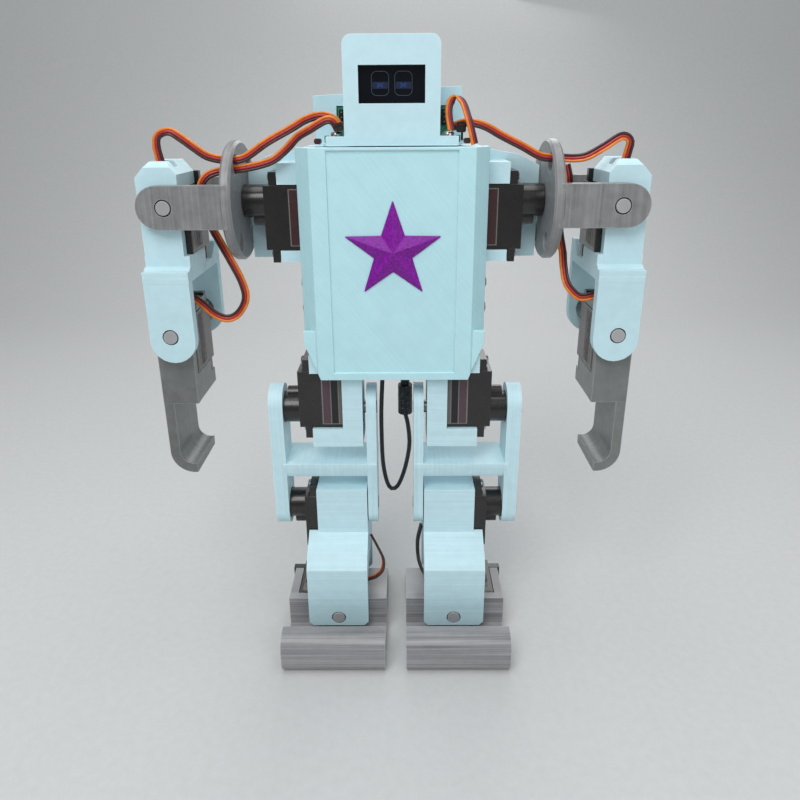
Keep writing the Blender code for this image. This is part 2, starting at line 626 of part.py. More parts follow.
# ---------------------------------------------------------------- legs
def hip_bracket(word, side, carrier):
    """The block round the hip servo, hung between a front lug and a rear arm."""
    near, far = HIP_Z - CASE_NEAR - GAP, HIP_Z + CASE_FAR + GAP
    case_y = (LEG_Y - CASE_HALF - GAP, LEG_Y + CASE_HALF + GAP)
    (x, z), low = (HIP_ROLL_X, HIP_ROLL_Z), SHELF_Z[0]
    lug = [(LEG_IN, low), (LEG_OUT, low), (LEG_OUT, 119.6), (x + 4.2, 119.6)]
    lug += arc((x, z), 4.2, 0, 180, 8) + [(x - 4.2, 119.6), (LEG_IN, 119.6)]
    arm_outline = [(x - 7, low), (x + 7, low)] + arc((x, z), 7.0, 0, 180, 12)
    add = [
        box((LEG_IN, LEG_OUT), (LEG_FRONT, LEG_BACK), (81.9, 115.8)),
        prism("Y", lug, HIP_ARM_FRONT),
        box((x - 6.9, x + 6.9), (LEG_BACK - 3, HIP_ARM_BACK[1] - 0.1), (low + 0.1, SHELF_Z[1])),
        prism("Y", arm_outline, HIP_ARM_BACK),
    ]
    cut = [
        box((LEG_CASE_X - GAP, 60), case_y, (near, far)),
        box((LIP_X, 60), (LEG_FRONT - 5, LEG_Y), (near, far)),
        box((LEG_CASE_X + 0.8, LEG_CASE_X + 5.0), (LEG_Y - 2.6, LEG_Y + 2.6), (75, near + 1)),
        cylinder("Y", 1.8, (x, z), (-30, 0), 12),
        cylinder("Y", SPLINE_HOLE_R, (x, z), (10, 40), 12),
        cylinder("X", PIN_SEAT_R, (LEG_Y, HIP_Z), (0, LEG_CASE_X + 2), 20),
    ]
    part(f"{word}_hip_bracket", PALE, carrier, add, cut, side)


def thigh_frame(word, side, carrier):
    """Two round-ended plates on the hip and knee axes, tied by a bar between them."""
    low, high = ((LEG_Y, z) for z in THIGH_Z)
    front, back = LEG_Y - THIGH_R - 0.3, LEG_Y + THIGH_R + 3.9
    bar = [(front, BAR_Z[0]), (front, BAR_Z[1]), (back, BAR_Z[1]), (back, BAR_Z[0]),
           (back - 1.6, BAR_Z[0] - 3.4), (front + 1.6, BAR_Z[0] - 3.4)]
    add = [stadium("X", THIGH_R, low, high, THIGH_OUTER),
           stadium("X", THIGH_R, low, high, THIGH_INNER),
           prism("X", bar, (THIGH_INNER[0] + 0.1, THIGH_OUTER[0] + 1))]
    cut = []
    for z in (KNEE_Z, HIP_Z):
        cut += [cylinder("X", TOWER_R + GAP, (LEG_Y, z), (30, LEG_CASE_X + TOWER_TOP + GAP), 20),
                cylinder("X", SPLINE_HOLE_R, (LEG_Y, z), (40, 60), 12),
                cylinder("X", PIN_HOLE_R, (LEG_Y, z), (0, 20), 20)]
    part(f"{word}_thigh_frame", PALE, carrier, add, cut, side)


def shank(word, side, carrier):
    """The block round the knee servo, standing on the bracket that spans the foot."""
    near, far = KNEE_Z + CASE_NEAR + GAP, KNEE_Z - CASE_FAR - GAP
    case_y = (LEG_Y - CASE_HALF - GAP, LEG_Y + CASE_HALF + GAP)
    front, back, wall = BRACKET_FRONT, BRACKET_BACK, BRACKET_WALL
    saddle = [(front, 6.7), (front, 33.2), (front + 3, 37.2), (LEG_FRONT + 0.6, 43.3),
              (LEG_BACK - 0.6, 43.3), (back - 2.5, 37.0), (back, 33.2), (back, 6.7)]
    add = [prism("X", saddle, BRACKET_X),
           box((BRACKET_X[0] + 0.1, LEG_OUT), (LEG_FRONT, LEG_BACK), (38, 62.3))]
    cut = [
        box((0, 60), (front + wall, back - wall), (0, 26.8)),
        box((LEG_CASE_X - GAP, LEG_OUT + 0.2), case_y, (far, near)),
        box((LEG_OUT, 60), case_y, (KNEE_Z - EAR_FAR - GAP, 70)),
        cylinder("Y", PIN_HOLE_R, (ANKLE_X, ANKLE_Z), (-40, -10), 20),
        cylinder("Y", SPLINE_HOLE_R, (ANKLE_X, ANKLE_Z), (0, 30), 12),
        cylinder("X", PIN_SEAT_R, (LEG_Y, KNEE_Z), (0, LEG_CASE_X + 2), 20),
    ]
    for edge, way in zip(BRACKET_X, (-1, 1)):
        corner = [(edge + way, 9.3), (edge + way, 5.0), (edge - way * 3.3, 5.0), (edge, 8.3)]
        cut.append(prism("Y", corner, (-40, 30)))
    part(f"{word}_shank", PALE, carrier, add, cut, side)


def foot(word, side, carrier):
    """A flat sole with a raised toe bar and a box that holds the ankle servo."""
    left, right = FOOT_X
    inner_edge = ANKLE_X - CASE_NEAR - GAP
    outer_edge = ANKLE_X + CASE_FAR + GAP
    toe_front, toe_back = TOE_Y
    low_r, top_r = 4.4, 6.0
    toe = [(toe_back, 0), (toe_back, TOE_TOP)]
    toe += arc((toe_front + top_r, TOE_TOP - top_r), top_r, 90, 180, 7)
    toe += arc((toe_front + low_r, low_r), low_r, 180, 270, 5)
    add = [
        prism("X", toe, FOOT_X),
        box((left + 0.1, right - 0.1), (toe_back - 1, 12.0), (0, SOLE_TOP)),
        box(FOOT_X, (FOOT_BOX_Y[0], FOOT_CASE_Y - GAP), (SOLE_TOP - 2, FOOT_BOX_TOP)),
        box((left, inner_edge), (FOOT_BOX_Y[0] + 0.2, FOOT_BOX_Y[1]),
            (SOLE_TOP - 2, FOOT_BOX_TOP - 0.1)),
        box((outer_edge, right), (FOOT_BOX_Y[0] + 0.2, FOOT_BOX_Y[1]),
            (SOLE_TOP - 2, FOOT_BOX_TOP - 0.1)),
    ]
    cut = [cylinder("Y", PIN_SEAT_R, (ANKLE_X, ANKLE_Z), (-30, -12), 20),
           box((inner_edge - 5, inner_edge + 1), (FOOT_CASE_Y + 0.9, FOOT_CASE_Y + 5.4),
               (ANKLE_Z - 2.6, 30))]
    part(f"{word}_foot", GREY, carrier, add, cut, side)


def leg(word, side):
    """One leg: the pieces between the hip roll, hip, knee and ankle axes."""
    roll = pivot(f"{word}_hip_roll", (side * HIP_ROLL_X, 0, HIP_ROLL_Z), ROBOT)
    hip = pivot(f"{word}_hip_pitch", (side * LEG_IN, LEG_Y, HIP_Z), roll)
    knee = pivot(f"{word}_knee", (side * LEG_IN, LEG_Y, KNEE_Z), hip)
    ankle = pivot(f"{word}_ankle_roll", (side * ANKLE_X, 0, ANKLE_Z), knee)
    out, back = (1, 0, 0), (0, 1, 0)
    servo(f"{word}_hip_roll_servo", ROBOT,
          servo_frame((HIP_ROLL_X, ROLL_CASE_Y, HIP_ROLL_Z), back, (0, 0, 1)), side)
    hip_bracket(word, side, roll)
    servo(f"{word}_hip_servo", roll,
          servo_frame((LEG_CASE_X, LEG_Y, HIP_Z), out, (0, 0, 1)), side)
    part(f"{word}_hip_pin", STEEL, roll,
         [cylinder("X", PIN_R, (LEG_Y, HIP_Z), (THIGH_INNER[0] - 0.2, LEG_CASE_X - 0.6), 20)],
         (), side)
    thigh_frame(word, side, hip)
    shank(word, side, knee)
    servo(f"{word}_knee_servo", knee,
          servo_frame((LEG_CASE_X, LEG_Y, KNEE_Z), out, (0, 0, -1)), side, False)
    part(f"{word}_knee_pin", STEEL, knee,
         [cylinder("X", PIN_R, (LEG_Y, KNEE_Z), (THIGH_INNER[0] - 0.2, LEG_CASE_X - 0.6), 20)],
         (), side)
    foot(word, side, ankle)
    servo(f"{word}_ankle_servo", ankle,
          servo_frame((ANKLE_X, FOOT_CASE_Y, ANKLE_Z), back, out), side)
    part(f"{word}_ankle_pin", STEEL, ankle,
         [cylinder("Y", PIN_R, (ANKLE_X, ANKLE_Z), (BRACKET_FRONT - 0.2, FOOT_CASE_Y - 0.6), 20)],
         (), side)
    route = [(side * x, y, z) for x, y, z in ANKLE_ROUTES[word]]
    lead(f"{word}_ankle_lead", BLACK, knee, route, LEAD_R)


# ---------------------------------------------------------------- the robot
for old in list(bpy.data.objects):
    bpy.data.objects.remove(old, do_unlink=True)

PARTS = collection("humanoid_robot_kit")
CUTTERS = collection("cutters")
PLACES = {}

PALE = material("pale printed plastic", (0.50, 0.74, 0.80), 0.55)
GREY = material("grey printed plastic", (0.24, 0.24, 0.25), 0.45)
PURPLE = material("purple printed plastic", (0.26, 0.01, 0.34), 0.45)
SERVO = material("servo plastic", (0.02, 0.018, 0.018), 0.3)
STEEL = material("steel pin", (0.35, 0.33, 0.32), 0.4, 0.9)
GLASS = material("display glass", (0.005, 0.007, 0.012), 0.12)
BOARD = material("circuit board", (0.01, 0.12, 0.06), 0.4)
BATTERY = material("battery wrap", (0.02, 0.08, 0.30), 0.4)
BLACK = material("black rubber", (0.012, 0.012, 0.012), 0.5)
ORANGE = material("servo lead", (0.85, 0.22, 0.03), 0.45)

ROBOT = pivot("robot", (0, 0, 0))
ROBOT.location = (0, BASE_Y * MM, 0)

torso_frame()
chest_cover()
chest_star()
head_shell()
face_display()
back_shell()
electronics()
power_cord()
for side_word, side_sign in (("left", 1), ("right", -1)):
    arm(side_word, side_sign)
    leg(side_word, side_sign)
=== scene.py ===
"""Looks for the humanoid robot kit: camera, light, surfaces and the small hardware.

Lengths below are millimetres in the robot's own layout, whose y = 0 is the plane of the
shoulder axes, BASE_Y in front of the frame's y = 0. The sides are mirror images.
"""
from math import cos, pi, radians, sin

import bmesh
import bpy
from mathutils import Matrix, Vector

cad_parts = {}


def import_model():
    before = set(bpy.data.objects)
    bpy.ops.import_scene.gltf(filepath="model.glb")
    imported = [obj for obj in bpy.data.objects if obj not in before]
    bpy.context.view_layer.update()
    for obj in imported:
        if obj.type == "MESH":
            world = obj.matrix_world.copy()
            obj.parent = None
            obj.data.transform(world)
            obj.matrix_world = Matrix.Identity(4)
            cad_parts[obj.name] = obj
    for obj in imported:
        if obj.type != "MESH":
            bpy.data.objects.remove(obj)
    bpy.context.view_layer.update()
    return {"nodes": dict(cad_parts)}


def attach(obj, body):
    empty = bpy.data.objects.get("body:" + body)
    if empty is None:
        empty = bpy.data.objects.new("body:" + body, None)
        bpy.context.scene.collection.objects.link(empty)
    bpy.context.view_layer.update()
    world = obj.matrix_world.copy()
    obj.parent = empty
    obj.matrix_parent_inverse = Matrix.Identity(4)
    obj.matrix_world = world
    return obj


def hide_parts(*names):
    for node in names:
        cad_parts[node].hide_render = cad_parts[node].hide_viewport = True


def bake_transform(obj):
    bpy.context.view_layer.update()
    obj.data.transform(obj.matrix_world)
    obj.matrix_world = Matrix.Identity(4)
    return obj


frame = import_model()
NODES = frame["nodes"]

MM = 0.001
BASE_Y = 3.6
SIDES = (("left", 1), ("right", -1))

# Axes of the joints
SHOULDER_Z = 174.0
ROLL_X = 77.1
ELBOW_X, ELBOW_Z = 80.0, 128.3
HIP_ROLL_X, HIP_ROLL_Z = 21.6, 128.6
LEG_CASE_X, LEG_Y = 16.0, -7.7
HIP_Z, KNEE_Z = 95.5, 52.6
ANKLE_X, ANKLE_Z = 23.3, 10.5
ARM_CASE_Y, FOOT_CASE_Y, ROLL_CASE_Y = -12.3, -19.3, -9.8
SHOULDER_CASE_X = 25.5

# Micro servo, from its case bottom on the shaft axis: z runs up the shaft, x to its far end
CASE_HALF = 6.1
EAR_TOP, EAR_HOLES = 18.5, (-8.4, 19.4)
SPLINE_TOP = 31.0
# Its label, and the label's bands: low edge, high edge and material slot
LABEL_X, LABEL_Z = (-4.7, 15.6), (0.9, 11.8)
LABEL_EDGE, LABEL_THICK, BAND_THICK = 0.35, 0.08, 0.06
BANDS = ((3.0, 5.2, 1), (5.6, 8.1, 2), (8.5, 11.3, 3))
SHOULDER_BANDS = ((1.2, 5.6, 2), (6.0, 11.4, 4))
# Each servo's case bottom on its shaft axis, its shaft and its far end, and what holds it
SERVOS = {
    "shoulder": ((SHOULDER_CASE_X, 0, SHOULDER_Z), (1, 0, 0), (0, 0, -1), "torso"),
    "arm": ((ROLL_X, ARM_CASE_Y, SHOULDER_Z), (0, 1, 0), (0, 0, -1), "upper_arm"),
    "elbow": ((ELBOW_X, ARM_CASE_Y, ELBOW_Z), (0, 1, 0), (0, 0, -1), "forearm"),
    "hip_roll": ((HIP_ROLL_X, ROLL_CASE_Y, HIP_ROLL_Z), (0, 1, 0), (0, 0, 1), "torso"),
    "hip": ((LEG_CASE_X, LEG_Y, HIP_Z), (1, 0, 0), (0, 0, 1), "hip"),
    "knee": ((LEG_CASE_X, LEG_Y, KNEE_Z), (1, 0, 0), (0, 0, -1), "shank"),
    "ankle": ((ANKLE_X, FOOT_CASE_Y, ANKLE_Z), (0, 1, 0), (1, 0, 0), "foot"),
}

# Screws: radius and height of a head, and where the screws sit
HEAD_SCREW, HEAD_SCREW_PLACE = (2.1, 1.4), (18.9, -9.0, 196.5)
COVER_SCREW, COVER_SCREW_X, COVER_SCREW_Y = (2.2, 1.4), 32.8, -4.5
COVER_SCREW_Z = (144.6, 135.0)
EAR_SCREW, SHAFT_SCREW, HORN_SCREW = (1.9, 1.2), (2.3, 1.1), (1.0, 0.6)
THIGH_FACE, THIGH_GAP = 48.3, 4.4
# Pairs of screws behind an axis: its x and z, the plate's back, their distance from it, the body
REAR_HORNS = {
    "hip": (HIP_ROLL_X, HIP_ROLL_Z, 22.0, 3.8, "hip"),
    "ankle": (ANKLE_X, ANKLE_Z, 12.9, 4.4, "shank"),
    "roll": (ROLL_X, SHOULDER_Z, 20.3, 4.6, "yoke"),
    "elbow": (ELBOW_X, ELBOW_Z, 20.2, 4.6, "upper_arm"),
}

# Lead housings on the deck: a leaning row of three, a single one, and a low one on each side
HOUSING_ROW, HOUSING_LEAN, HOUSING_STEP = (18.0, -10.0, 199.5), -12, 2.9
SINGLE_HOUSING, LOW_HOUSING = (23.2, -9.6, 199.2), (25.2, -10.8, 194.9)
# The board's headers, and the step from pin to pin
HEADER, PIN_STEP = (18.6, 9.8, 202.6), 1.7

# The display's front and the two eyes shown on it
SCREEN_Y = -13.6
EYE_X, EYE_Z = 3.8, 212.8
EYE_HALF, EYE_HIGH, EYE_ROUND = 2.9, 3.75, 1.7
EYE_LINE, EYE_BAND_DROP, PUPIL_LEAN = 0.16, 0.55, 32

# Camera
CAMERA_PLACE = (3.55, -237.1, 201.5)
CAMERA_TILT, CAMERA_PAN, CAMERA_ROLL = 71.0, 0.354, -0.361
CAMERA_LENS = 29.25
CAMERA_SHIFT_Y = -0.07

# The floor: its front edge, where it curves up and how fast, its top, half its width, and how far
# it lies below the soles
FLOOR_FRONT, FLOOR_BEND, FLOOR_RADIUS = -900, 420, 300
WALL_TOP, FLOOR_HALF, FLOOR_DROP = 1500, 1600, 0.05
# Square lights that face the robot's middle: place, width and watts
LIGHTS = {
    "key": ((-180, -480, 700), 420, 3.0),
    "fill": ((420, -560, 380), 420, 0.8),
    "top": ((0, 60, 760), 500, 1.8),
    "rear": ((60, 620, 520), 400, 1.2),
}
LIGHT_TARGET = (0, 0, 120)

# Leads: the flat three-wire ones' width and the power cord's radius, each with the spacing of the
# points along it, and the way that the flat ones face
RIBBON, RIBBON_STEP = 3.0, 0.9
CORD_R, CORD_STEP = 0.9, 1.6
VIEWER = Vector((0, -1, 0.33))
# The two bodies that each lead joins, the one nearer to the torso first
LEAD_BODIES = {
    "shoulder_lead_a": ("torso", "yoke"),
    "shoulder_lead_b": ("torso", "yoke"),
    "roll_lead": ("yoke", "upper_arm"),
    "elbow_lead_a": ("yoke", "upper_arm"),
    "elbow_lead_b": ("upper_arm", "forearm"),
}
# The side of each ribbon that its orange wire starts on, and an ankle lead's first wire
ORANGE_SIDE = {
    "left": {"shoulder_lead_a": (0, 0, 1), "shoulder_lead_b": (-1, -0.8, 0),
             "roll_lead": (0, 0, -1), "elbow_lead_a": (-1, 0, -0.5),
             "elbow_lead_b": (-1, 0, -1)},
    "right": {"shoulder_lead_a": (0, 0, 1), "shoulder_lead_b": (0, 0, 1),
              "roll_lead": (0, 0, 1), "elbow_lead_a": (-1, 0, 0.5),
              "elbow_lead_b": (1, 0, 0.3)},
}
ANKLE_ACROSS = (0.3, -1, 0.3)
# A short lead that loops at the head, and one that rolls over between two parts of its way
HEAD_LOOP = ("left", "shoulder_lead_b")
ROLLED_LEAD, ROLL_SPAN = ("right", "elbow_lead_a"), (0.4, 0.75)
# The middle lines of the leads and of the power cord
ARM_ROUTES = {
    "left": {
        "shoulder_lead_a": [(57.4, -9.2, 188.9), (51, -9.2, 189.5), (44.5, -8.7, 192.8),
                            (37.2, -8, 196.4), (32, -8, 199.2), (28.2, -7.6, 200.4),
                            (24.5, -6.4, 200.6), (20.4, -5, 199.2)],
        "shoulder_lead_b": [(19.8, -11.6, 198.2), (19.0, -10.4, 203), (19.3, -9.2, 206.6),
                            (21.3, -7.8, 208.7), (23.6, -8.8, 207.2), (25.2, -11.8, 202.6),
                            (26.6, -13.0, 197.6), (27.6, -12.8, 193.8)],
        "roll_lead": [(58.5, -9.2, 189.0), (62, -9.8, 188.9), (66.1, -10.8, 189.6),
                      (71.5, -11, 192.6), (77.2, -10.8, 196.0), (80.4, -10.2, 194.6),
                      (80.2, -9.7, 191), (79.4, -9.1, 186.2)],
        "elbow_lead_a": [(59.7, -9.2, 186.8), (60.8, -9.4, 182.4), (61.2, -8, 178),
                         (60.6, -5.4, 171), (60.2, -3.4, 164.5), (62.1, -3.7, 155.1)],
        "elbow_lead_b": [(62.1, -3.7, 155.4), (62.2, -6.2, 150.4), (63.2, -9.6, 144.6),
                         (67.2, -12.0, 140.6), (72.2, -12.2, 141.0), (75.6, -10.4, 140.4),
                         (76.2, -9.1, 137)],
    },
    "right": {
        "shoulder_lead_a": [(57.4, -9.2, 188.9), (51, -9.2, 189.6), (43, -8.8, 194.6),
                            (34.3, -8, 199.2), (29.1, -8, 202.0), (23.5, -8.6, 203.2),
                            (19.4, -8.6, 201.6), (18.2, -8.6, 199.4)],
        "shoulder_lead_b": [(57.4, -9.2, 185.8), (51, -9.3, 186.2), (42, -9.2, 188.4),
                            (36.6, -8.8, 192.2), (32.4, -9.6, 196.2), (28, -11.4, 198.6),
                            (22.4, -11.8, 201.6), (19.8, -11.8, 201.4), (18.4, -11.6, 199.4)],
        "roll_lead": [(58.5, -9.2, 189.0), (62, -9.9, 189.8), (64.8, -10.6, 191.2),
                      (71.1, -11, 196), (75.2, -11, 198.4), (79.2, -10.6, 197),
                      (80.3, -10, 193.2), (79.4, -9.1, 186.2)],
        "elbow_lead_a": [(58.6, -9.2, 185.6), (63.6, -10.6, 184), (66.2, -11.2, 180.4),
                         (67, -9.5, 174), (66.2, -8.4, 169), (63.7, -8, 163.3),
                         (59.5, -8.6, 155.0)],
        "elbow_lead_b": [(59.6, -8.6, 155.2), (55.6, -9, 146.4), (54.6, -9, 139.8),
                         (57.5, -9, 134.3), (61.6, -9.4, 132.2), (66.3, -9.5, 133.8),
                         (71, -9.4, 138.2), (73.8, -9.2, 140), (76.1, -9.1, 138.6),
                         (76.2, -9.1, 137)],
    },
}
ANKLE_ROUTES = {
    "left": [(10.7, -2.8, 38), (9.1, -4.5, 31), (9.4, -8, 24.8), (11.2, -12.4, 21.4),
             (14.2, -15.8, 19), (15.2, -16.2, 13.4)],
    "right": [(10.7, -7.5, 36.4), (7.6, -10, 31.5), (5.4, -12.5, 27.5), (5.9, -14.8, 24),
              (8.6, -16, 21.8), (12.2, -16.2, 20.4), (14.9, -16.2, 17), (15.2, -16.2, 13.4)],
}
POWER_ROUTE = [(-4.2, 4.6, 121), (-5.0, 4.6, 106), (-5.8, 4.6, 90), (-5.9, 4.6, 78),
               (-5.5, 4.6, 64), (-3.9, 4.6, 54.4), (-1.8, 4.6, 51), (1.0, 4.6, 53),
               (3.9, 4.6, 61.4), (5.7, 4.6, 72), (5.2, 4.6, 81), (4.0, 4.6, 86.8)]


def world(place, side=1):
    """A layout point in millimetres, on the given side, as a frame point in metres."""
    return Vector((side * place[0], place[1] + BASE_Y, place[2])) * MM


# ---------------------------------------------------------------- materials
class Surface:
    """A material being built: short calls that add nodes and link them."""

    def __init__(self, name):
        self.material = bpy.data.materials.new(name)
        self.material.use_nodes = True
        self.nodes = self.material.node_tree.nodes
        self.links = self.material.node_tree.links
        self.shader = self.nodes["Principled BSDF"]

    def fill(self, node, values):
        """Sets a node's inputs, from numbers or from other nodes' outputs."""
        for key, value in values.items():
            if isinstance(value, bpy.types.NodeSocket):
                self.links.new(value, node.inputs[key])
            else:
                node.inputs[key].default_value = value

    def add(self, kind, values=(), **settings):
        """A new node with its settings and inputs."""
        node = self.nodes.new("ShaderNode" + kind)
        for key, value in settings.items():
            setattr(node, key, value)
        self.fill(node, dict(values))
        return node

    def place(self, scale):
        """The piece's own coordinates, scaled along each axis."""
        own = self.add("TexCoord").outputs["Object"]
        return self.add("Mapping", {"Vector": own, "Scale": scale}).outputs["Vector"]

    def noise(self, scale, detail=3.0, rough=0.55):
        """Noise between 0 and 1, of the given cells per metre along each axis."""
        return self.add("TexNoise", {"Vector": self.place(scale), "Scale": 1.0, "Detail": detail,
                                     "Roughness": rough}).outputs["Fac"]

    def remap(self, value, low, high, to_low, to_high):
        """A value moved from one range to another, and kept inside it."""
        return self.add("MapRange", {"Value": value, "From Min": low, "From Max": high,
                                     "To Min": to_low, "To Max": to_high}).outputs["Result"]

    def maths(self, operation, a, b):
        """Two values combined."""
        return self.add("Math", {0: a, 1: b}, operation=operation).outputs[0]

    def blend(self, factor, a, b):
        """Two colours mixed."""
        mix = self.add("Mix", {"Factor": factor}, data_type="RGBA")
        for index, value in ((6, a), (7, b)):
            if isinstance(value, bpy.types.NodeSocket):
                self.links.new(value, mix.inputs[index])
            else:
                mix.inputs[index].default_value = (*value, 1)
        return mix.outputs[2]

    def edge(self, radius):
        """1 on convex and concave edges, 0 on flat faces."""
        soft = self.add("Bevel", {"Radius": radius}, samples=4).outputs["Normal"]
        flat = self.add("NewGeometry").outputs["Normal"]
        same = self.add("VectorMath", {0: soft, 1: flat}, operation="DOT_PRODUCT")
        return self.remap(same.outputs["Value"], 0.98, 0.78, 0.0, 1.0)

    def finish(self, colour, roughness, height=None, depth=0.0001, strength=0.5, **sockets):
        """Feeds the shader: linked colour, roughness and bump, and plain constants."""
        self.fill(self.shader, {"Base Color": colour, "Roughness": roughness})
        if height is not None:
            bump = self.add("Bump", {"Height": height, "Distance": depth, "Strength": strength})
            self.fill(self.shader, {"Normal": bump.outputs["Normal"]})
        for name, value in sockets.items():
            self.shader.inputs[name.replace("_", " ")].default_value = value
        return self.material


def along(axis, this, other):
    """A scale of one value along an axis and another across it."""
    return tuple(this if name == axis else other for name in "XYZ")


def printed(name, colour, light, axis, tone=0.07, ridges=0.5, gloss=0.5, coat=0.0,
            cloud=0.5, spread=0.3):
    """Printed plastic: layers stacked along an axis, faint mottling, and edges painted pale as a
    highlight.
    """
    made = Surface(name)
    broad = made.noise(along(axis, 900, 9), 2.0)
    fine = made.noise(along(axis, 4200, 30), 2.0)
    mottle = made.noise((260, 260, 260), 4.0)
    layers = made.maths("ADD", made.maths("MULTIPLY", broad, 0.6), made.maths("MULTIPLY", fine, 0.4))
    middle = 0.5 + cloud / 2
    shade = made.remap(made.maths("ADD", layers, made.maths("MULTIPLY", mottle, cloud)),
                       middle - spread, middle + spread, 0.0, 1.0)
    dark = tuple(c * (1 - 1.6 * tone) for c in colour)
    bright = tuple(min(1.0, c * (1 + tone)) for c in colour)
    body = made.blend(shade, dark, bright)
    # painted highlight: edges blended towards the pale highlight colour
    painted_edge_highlight = made.maths("MULTIPLY", made.edge(0.0006), 0.55)
    roughness = made.remap(layers, 0.3, 0.7, gloss - 0.06, gloss + 0.08)
    return made.finish(made.blend(painted_edge_highlight, body, light), roughness, layers, 0.00012, ridges,
                       Specular_IOR_Level=0.5, Coat_Weight=coat, Coat_Roughness=0.35)


def recess_print(name, colour, light):
    """The chest cover's plastic: layers from front to back, and slanted runs on the face."""
    made = Surface(name)
    own = made.add("TexCoord").outputs["Object"]
    turned = made.add("Mapping", {"Vector": own, "Rotation": (0, radians(38), 0)})
    runs = made.add("Mapping", {"Vector": turned.outputs["Vector"], "Scale": (1500, 20, 6)})
    slant = made.add("TexNoise", {"Vector": runs.outputs["Vector"], "Scale": 1.0, "Detail": 2.0})
    layers = made.noise((30, 2600, 9), 2.0)
    mottle = made.noise((150, 150, 150), 4.0)
    mixed = made.maths("ADD", made.maths("MULTIPLY", slant.outputs["Fac"], 0.5),
                       made.maths("MULTIPLY", layers, 0.5))
    shade = made.remap(made.maths("ADD", mixed, made.maths("MULTIPLY", mottle, 0.6)),
                       0.5, 1.1, 0.0, 1.0)
    body = made.blend(shade, tuple(c * 0.93 for c in colour), tuple(min(1, c * 1.05) for c in colour))
    # painted highlight: the cover's edges blended towards the pale highlight colour
    painted_edge_highlight = made.maths("MULTIPLY", made.edge(0.0006), 0.5)
    return made.finish(made.blend(painted_edge_highlight, body, light), made.remap(mixed, 0.3, 0.7, 0.42, 0.55),
                       mixed, 0.0001, 0.35, Specular_IOR_Level=0.5)


def sparkle_print(name):
    """Purple silk plastic whose rough top skin breaks the light into specks."""
    made = Surface(name)
    coarse = made.noise((1300, 1300, 1300), 3.0, 0.7)
    fine = made.noise((3600, 3600, 3600), 2.0)
    layers = made.noise((20, 5200, 20), 2.0)
    grain = made.maths("ADD", made.maths("MULTIPLY", coarse, 0.6), made.maths("MULTIPLY", fine, 0.4))
    body = made.blend(made.remap(grain, 0.36, 0.66, 0, 1), (0.11, 0.001, 0.16), (0.36, 0.012, 0.50))
    height = made.maths("ADD", grain, made.maths("MULTIPLY", layers, 0.5))
    return made.finish(body, made.remap(grain, 0.3, 0.7, 0.28, 0.5), height, 0.00022, 0.8,
                       Specular_IOR_Level=0.3)


def smoky_plastic(name, dark=(0.004, 0.0035, 0.0035), brown=(0.012, 0.0085, 0.0065)):
    """A servo's dark moulded case: glossy, faintly brown, with scuffs and paler edges."""
    made = Surface(name)
    cloud = made.noise((160, 160, 160), 4.0)
    scuff = made.noise((900, 2400, 900), 5.0, 0.7)
    body = made.blend(made.remap(cloud, 0.35, 0.7, 0, 1), dark, brown)
    body = made.blend(made.remap(scuff, 0.66, 0.84, 0, 0.3), body, (0.04, 0.035, 0.03))
    body = made.blend(made.maths("MULTIPLY", made.edge(0.0004), 0.35), body, (0.09, 0.08, 0.07))
    return made.finish(body, made.remap(scuff, 0.35, 0.75, 0.26, 0.4), scuff, 0.00003, 0.2,
                       Coat_Weight=0.35, Coat_Roughness=0.16)


def label_paper(name, colour):
    """A printed foil label: an even colour with fine rubbed streaks."""
    made = Surface(name)
    rubbed = made.noise((2600, 600, 2600), 3.0)
    cloud = made.noise((500, 500, 500), 3.0)
    body = made.blend(made.remap(rubbed, 0.3, 0.7, 0, 1), tuple(c * 0.72 for c in colour),
                      tuple(c * 1.15 for c in colour))
    return made.finish(body, made.remap(cloud, 0.3, 0.7, 0.32, 0.5), rubbed, 0.00002, 0.2)


def knurled_rubber(name):
    """Black rubber with a raised diamond grain whose tips are rubbed pale."""
    made = Surface(name)
    place = made.place((1100, 1100, 1100))
    cells = made.add("TexVoronoi", {"Vector": place, "Scale": 1.0}).outputs["Distance"]
    patch = made.noise((700, 700, 700), 3.0)
    tips = made.maths("MULTIPLY", made.remap(cells, 0.28, 0.12, 0, 1), made.remap(patch, 0.45, 0.62, 0, 1))
    body = made.blend(tips, (0.012, 0.012, 0.013), (0.42, 0.43, 0.44))
    return made.finish(body, made.remap(patch, 0.3, 0.7, 0.35, 0.6), made.maths("SUBTRACT", 1.0, cells),
                       0.0004, 0.8)


def metal(name, colour, roughness, axis="X"):
    """Turned or pressed metal with fine lines round it and a few duller patches."""
    made = Surface(name)
    turned = made.noise(along(axis, 5200, 300), 3.0)
    dull = made.noise((700, 700, 700), 4.0)
    body = made.blend(made.remap(dull, 0.35, 0.7, 0, 1), tuple(c * 0.7 for c in colour), colour)
    return made.finish(body, made.remap(dull, 0.3, 0.7, roughness - 0.08, roughness + 0.14),
                       turned, 0.00003, 0.4, Metallic=1.0)


def wire_plastic(name, colour):
    """A wire's soft sleeve, darker where handled, with slight waves in its surface."""
    made = Surface(name)
    cloud = made.noise((420, 420, 420), 4.0)
    grip = made.noise((2600, 2600, 2600), 3.0)
    body = made.blend(made.remap(cloud, 0.3, 0.7, 0, 1), tuple(c * 0.72 for c in colour), colour)
    return made.finish(body, made.remap(grip, 0.3, 0.7, 0.3, 0.46), grip, 0.00004, 0.35,
                       Coat_Weight=0.15, Coat_Roughness=0.3)


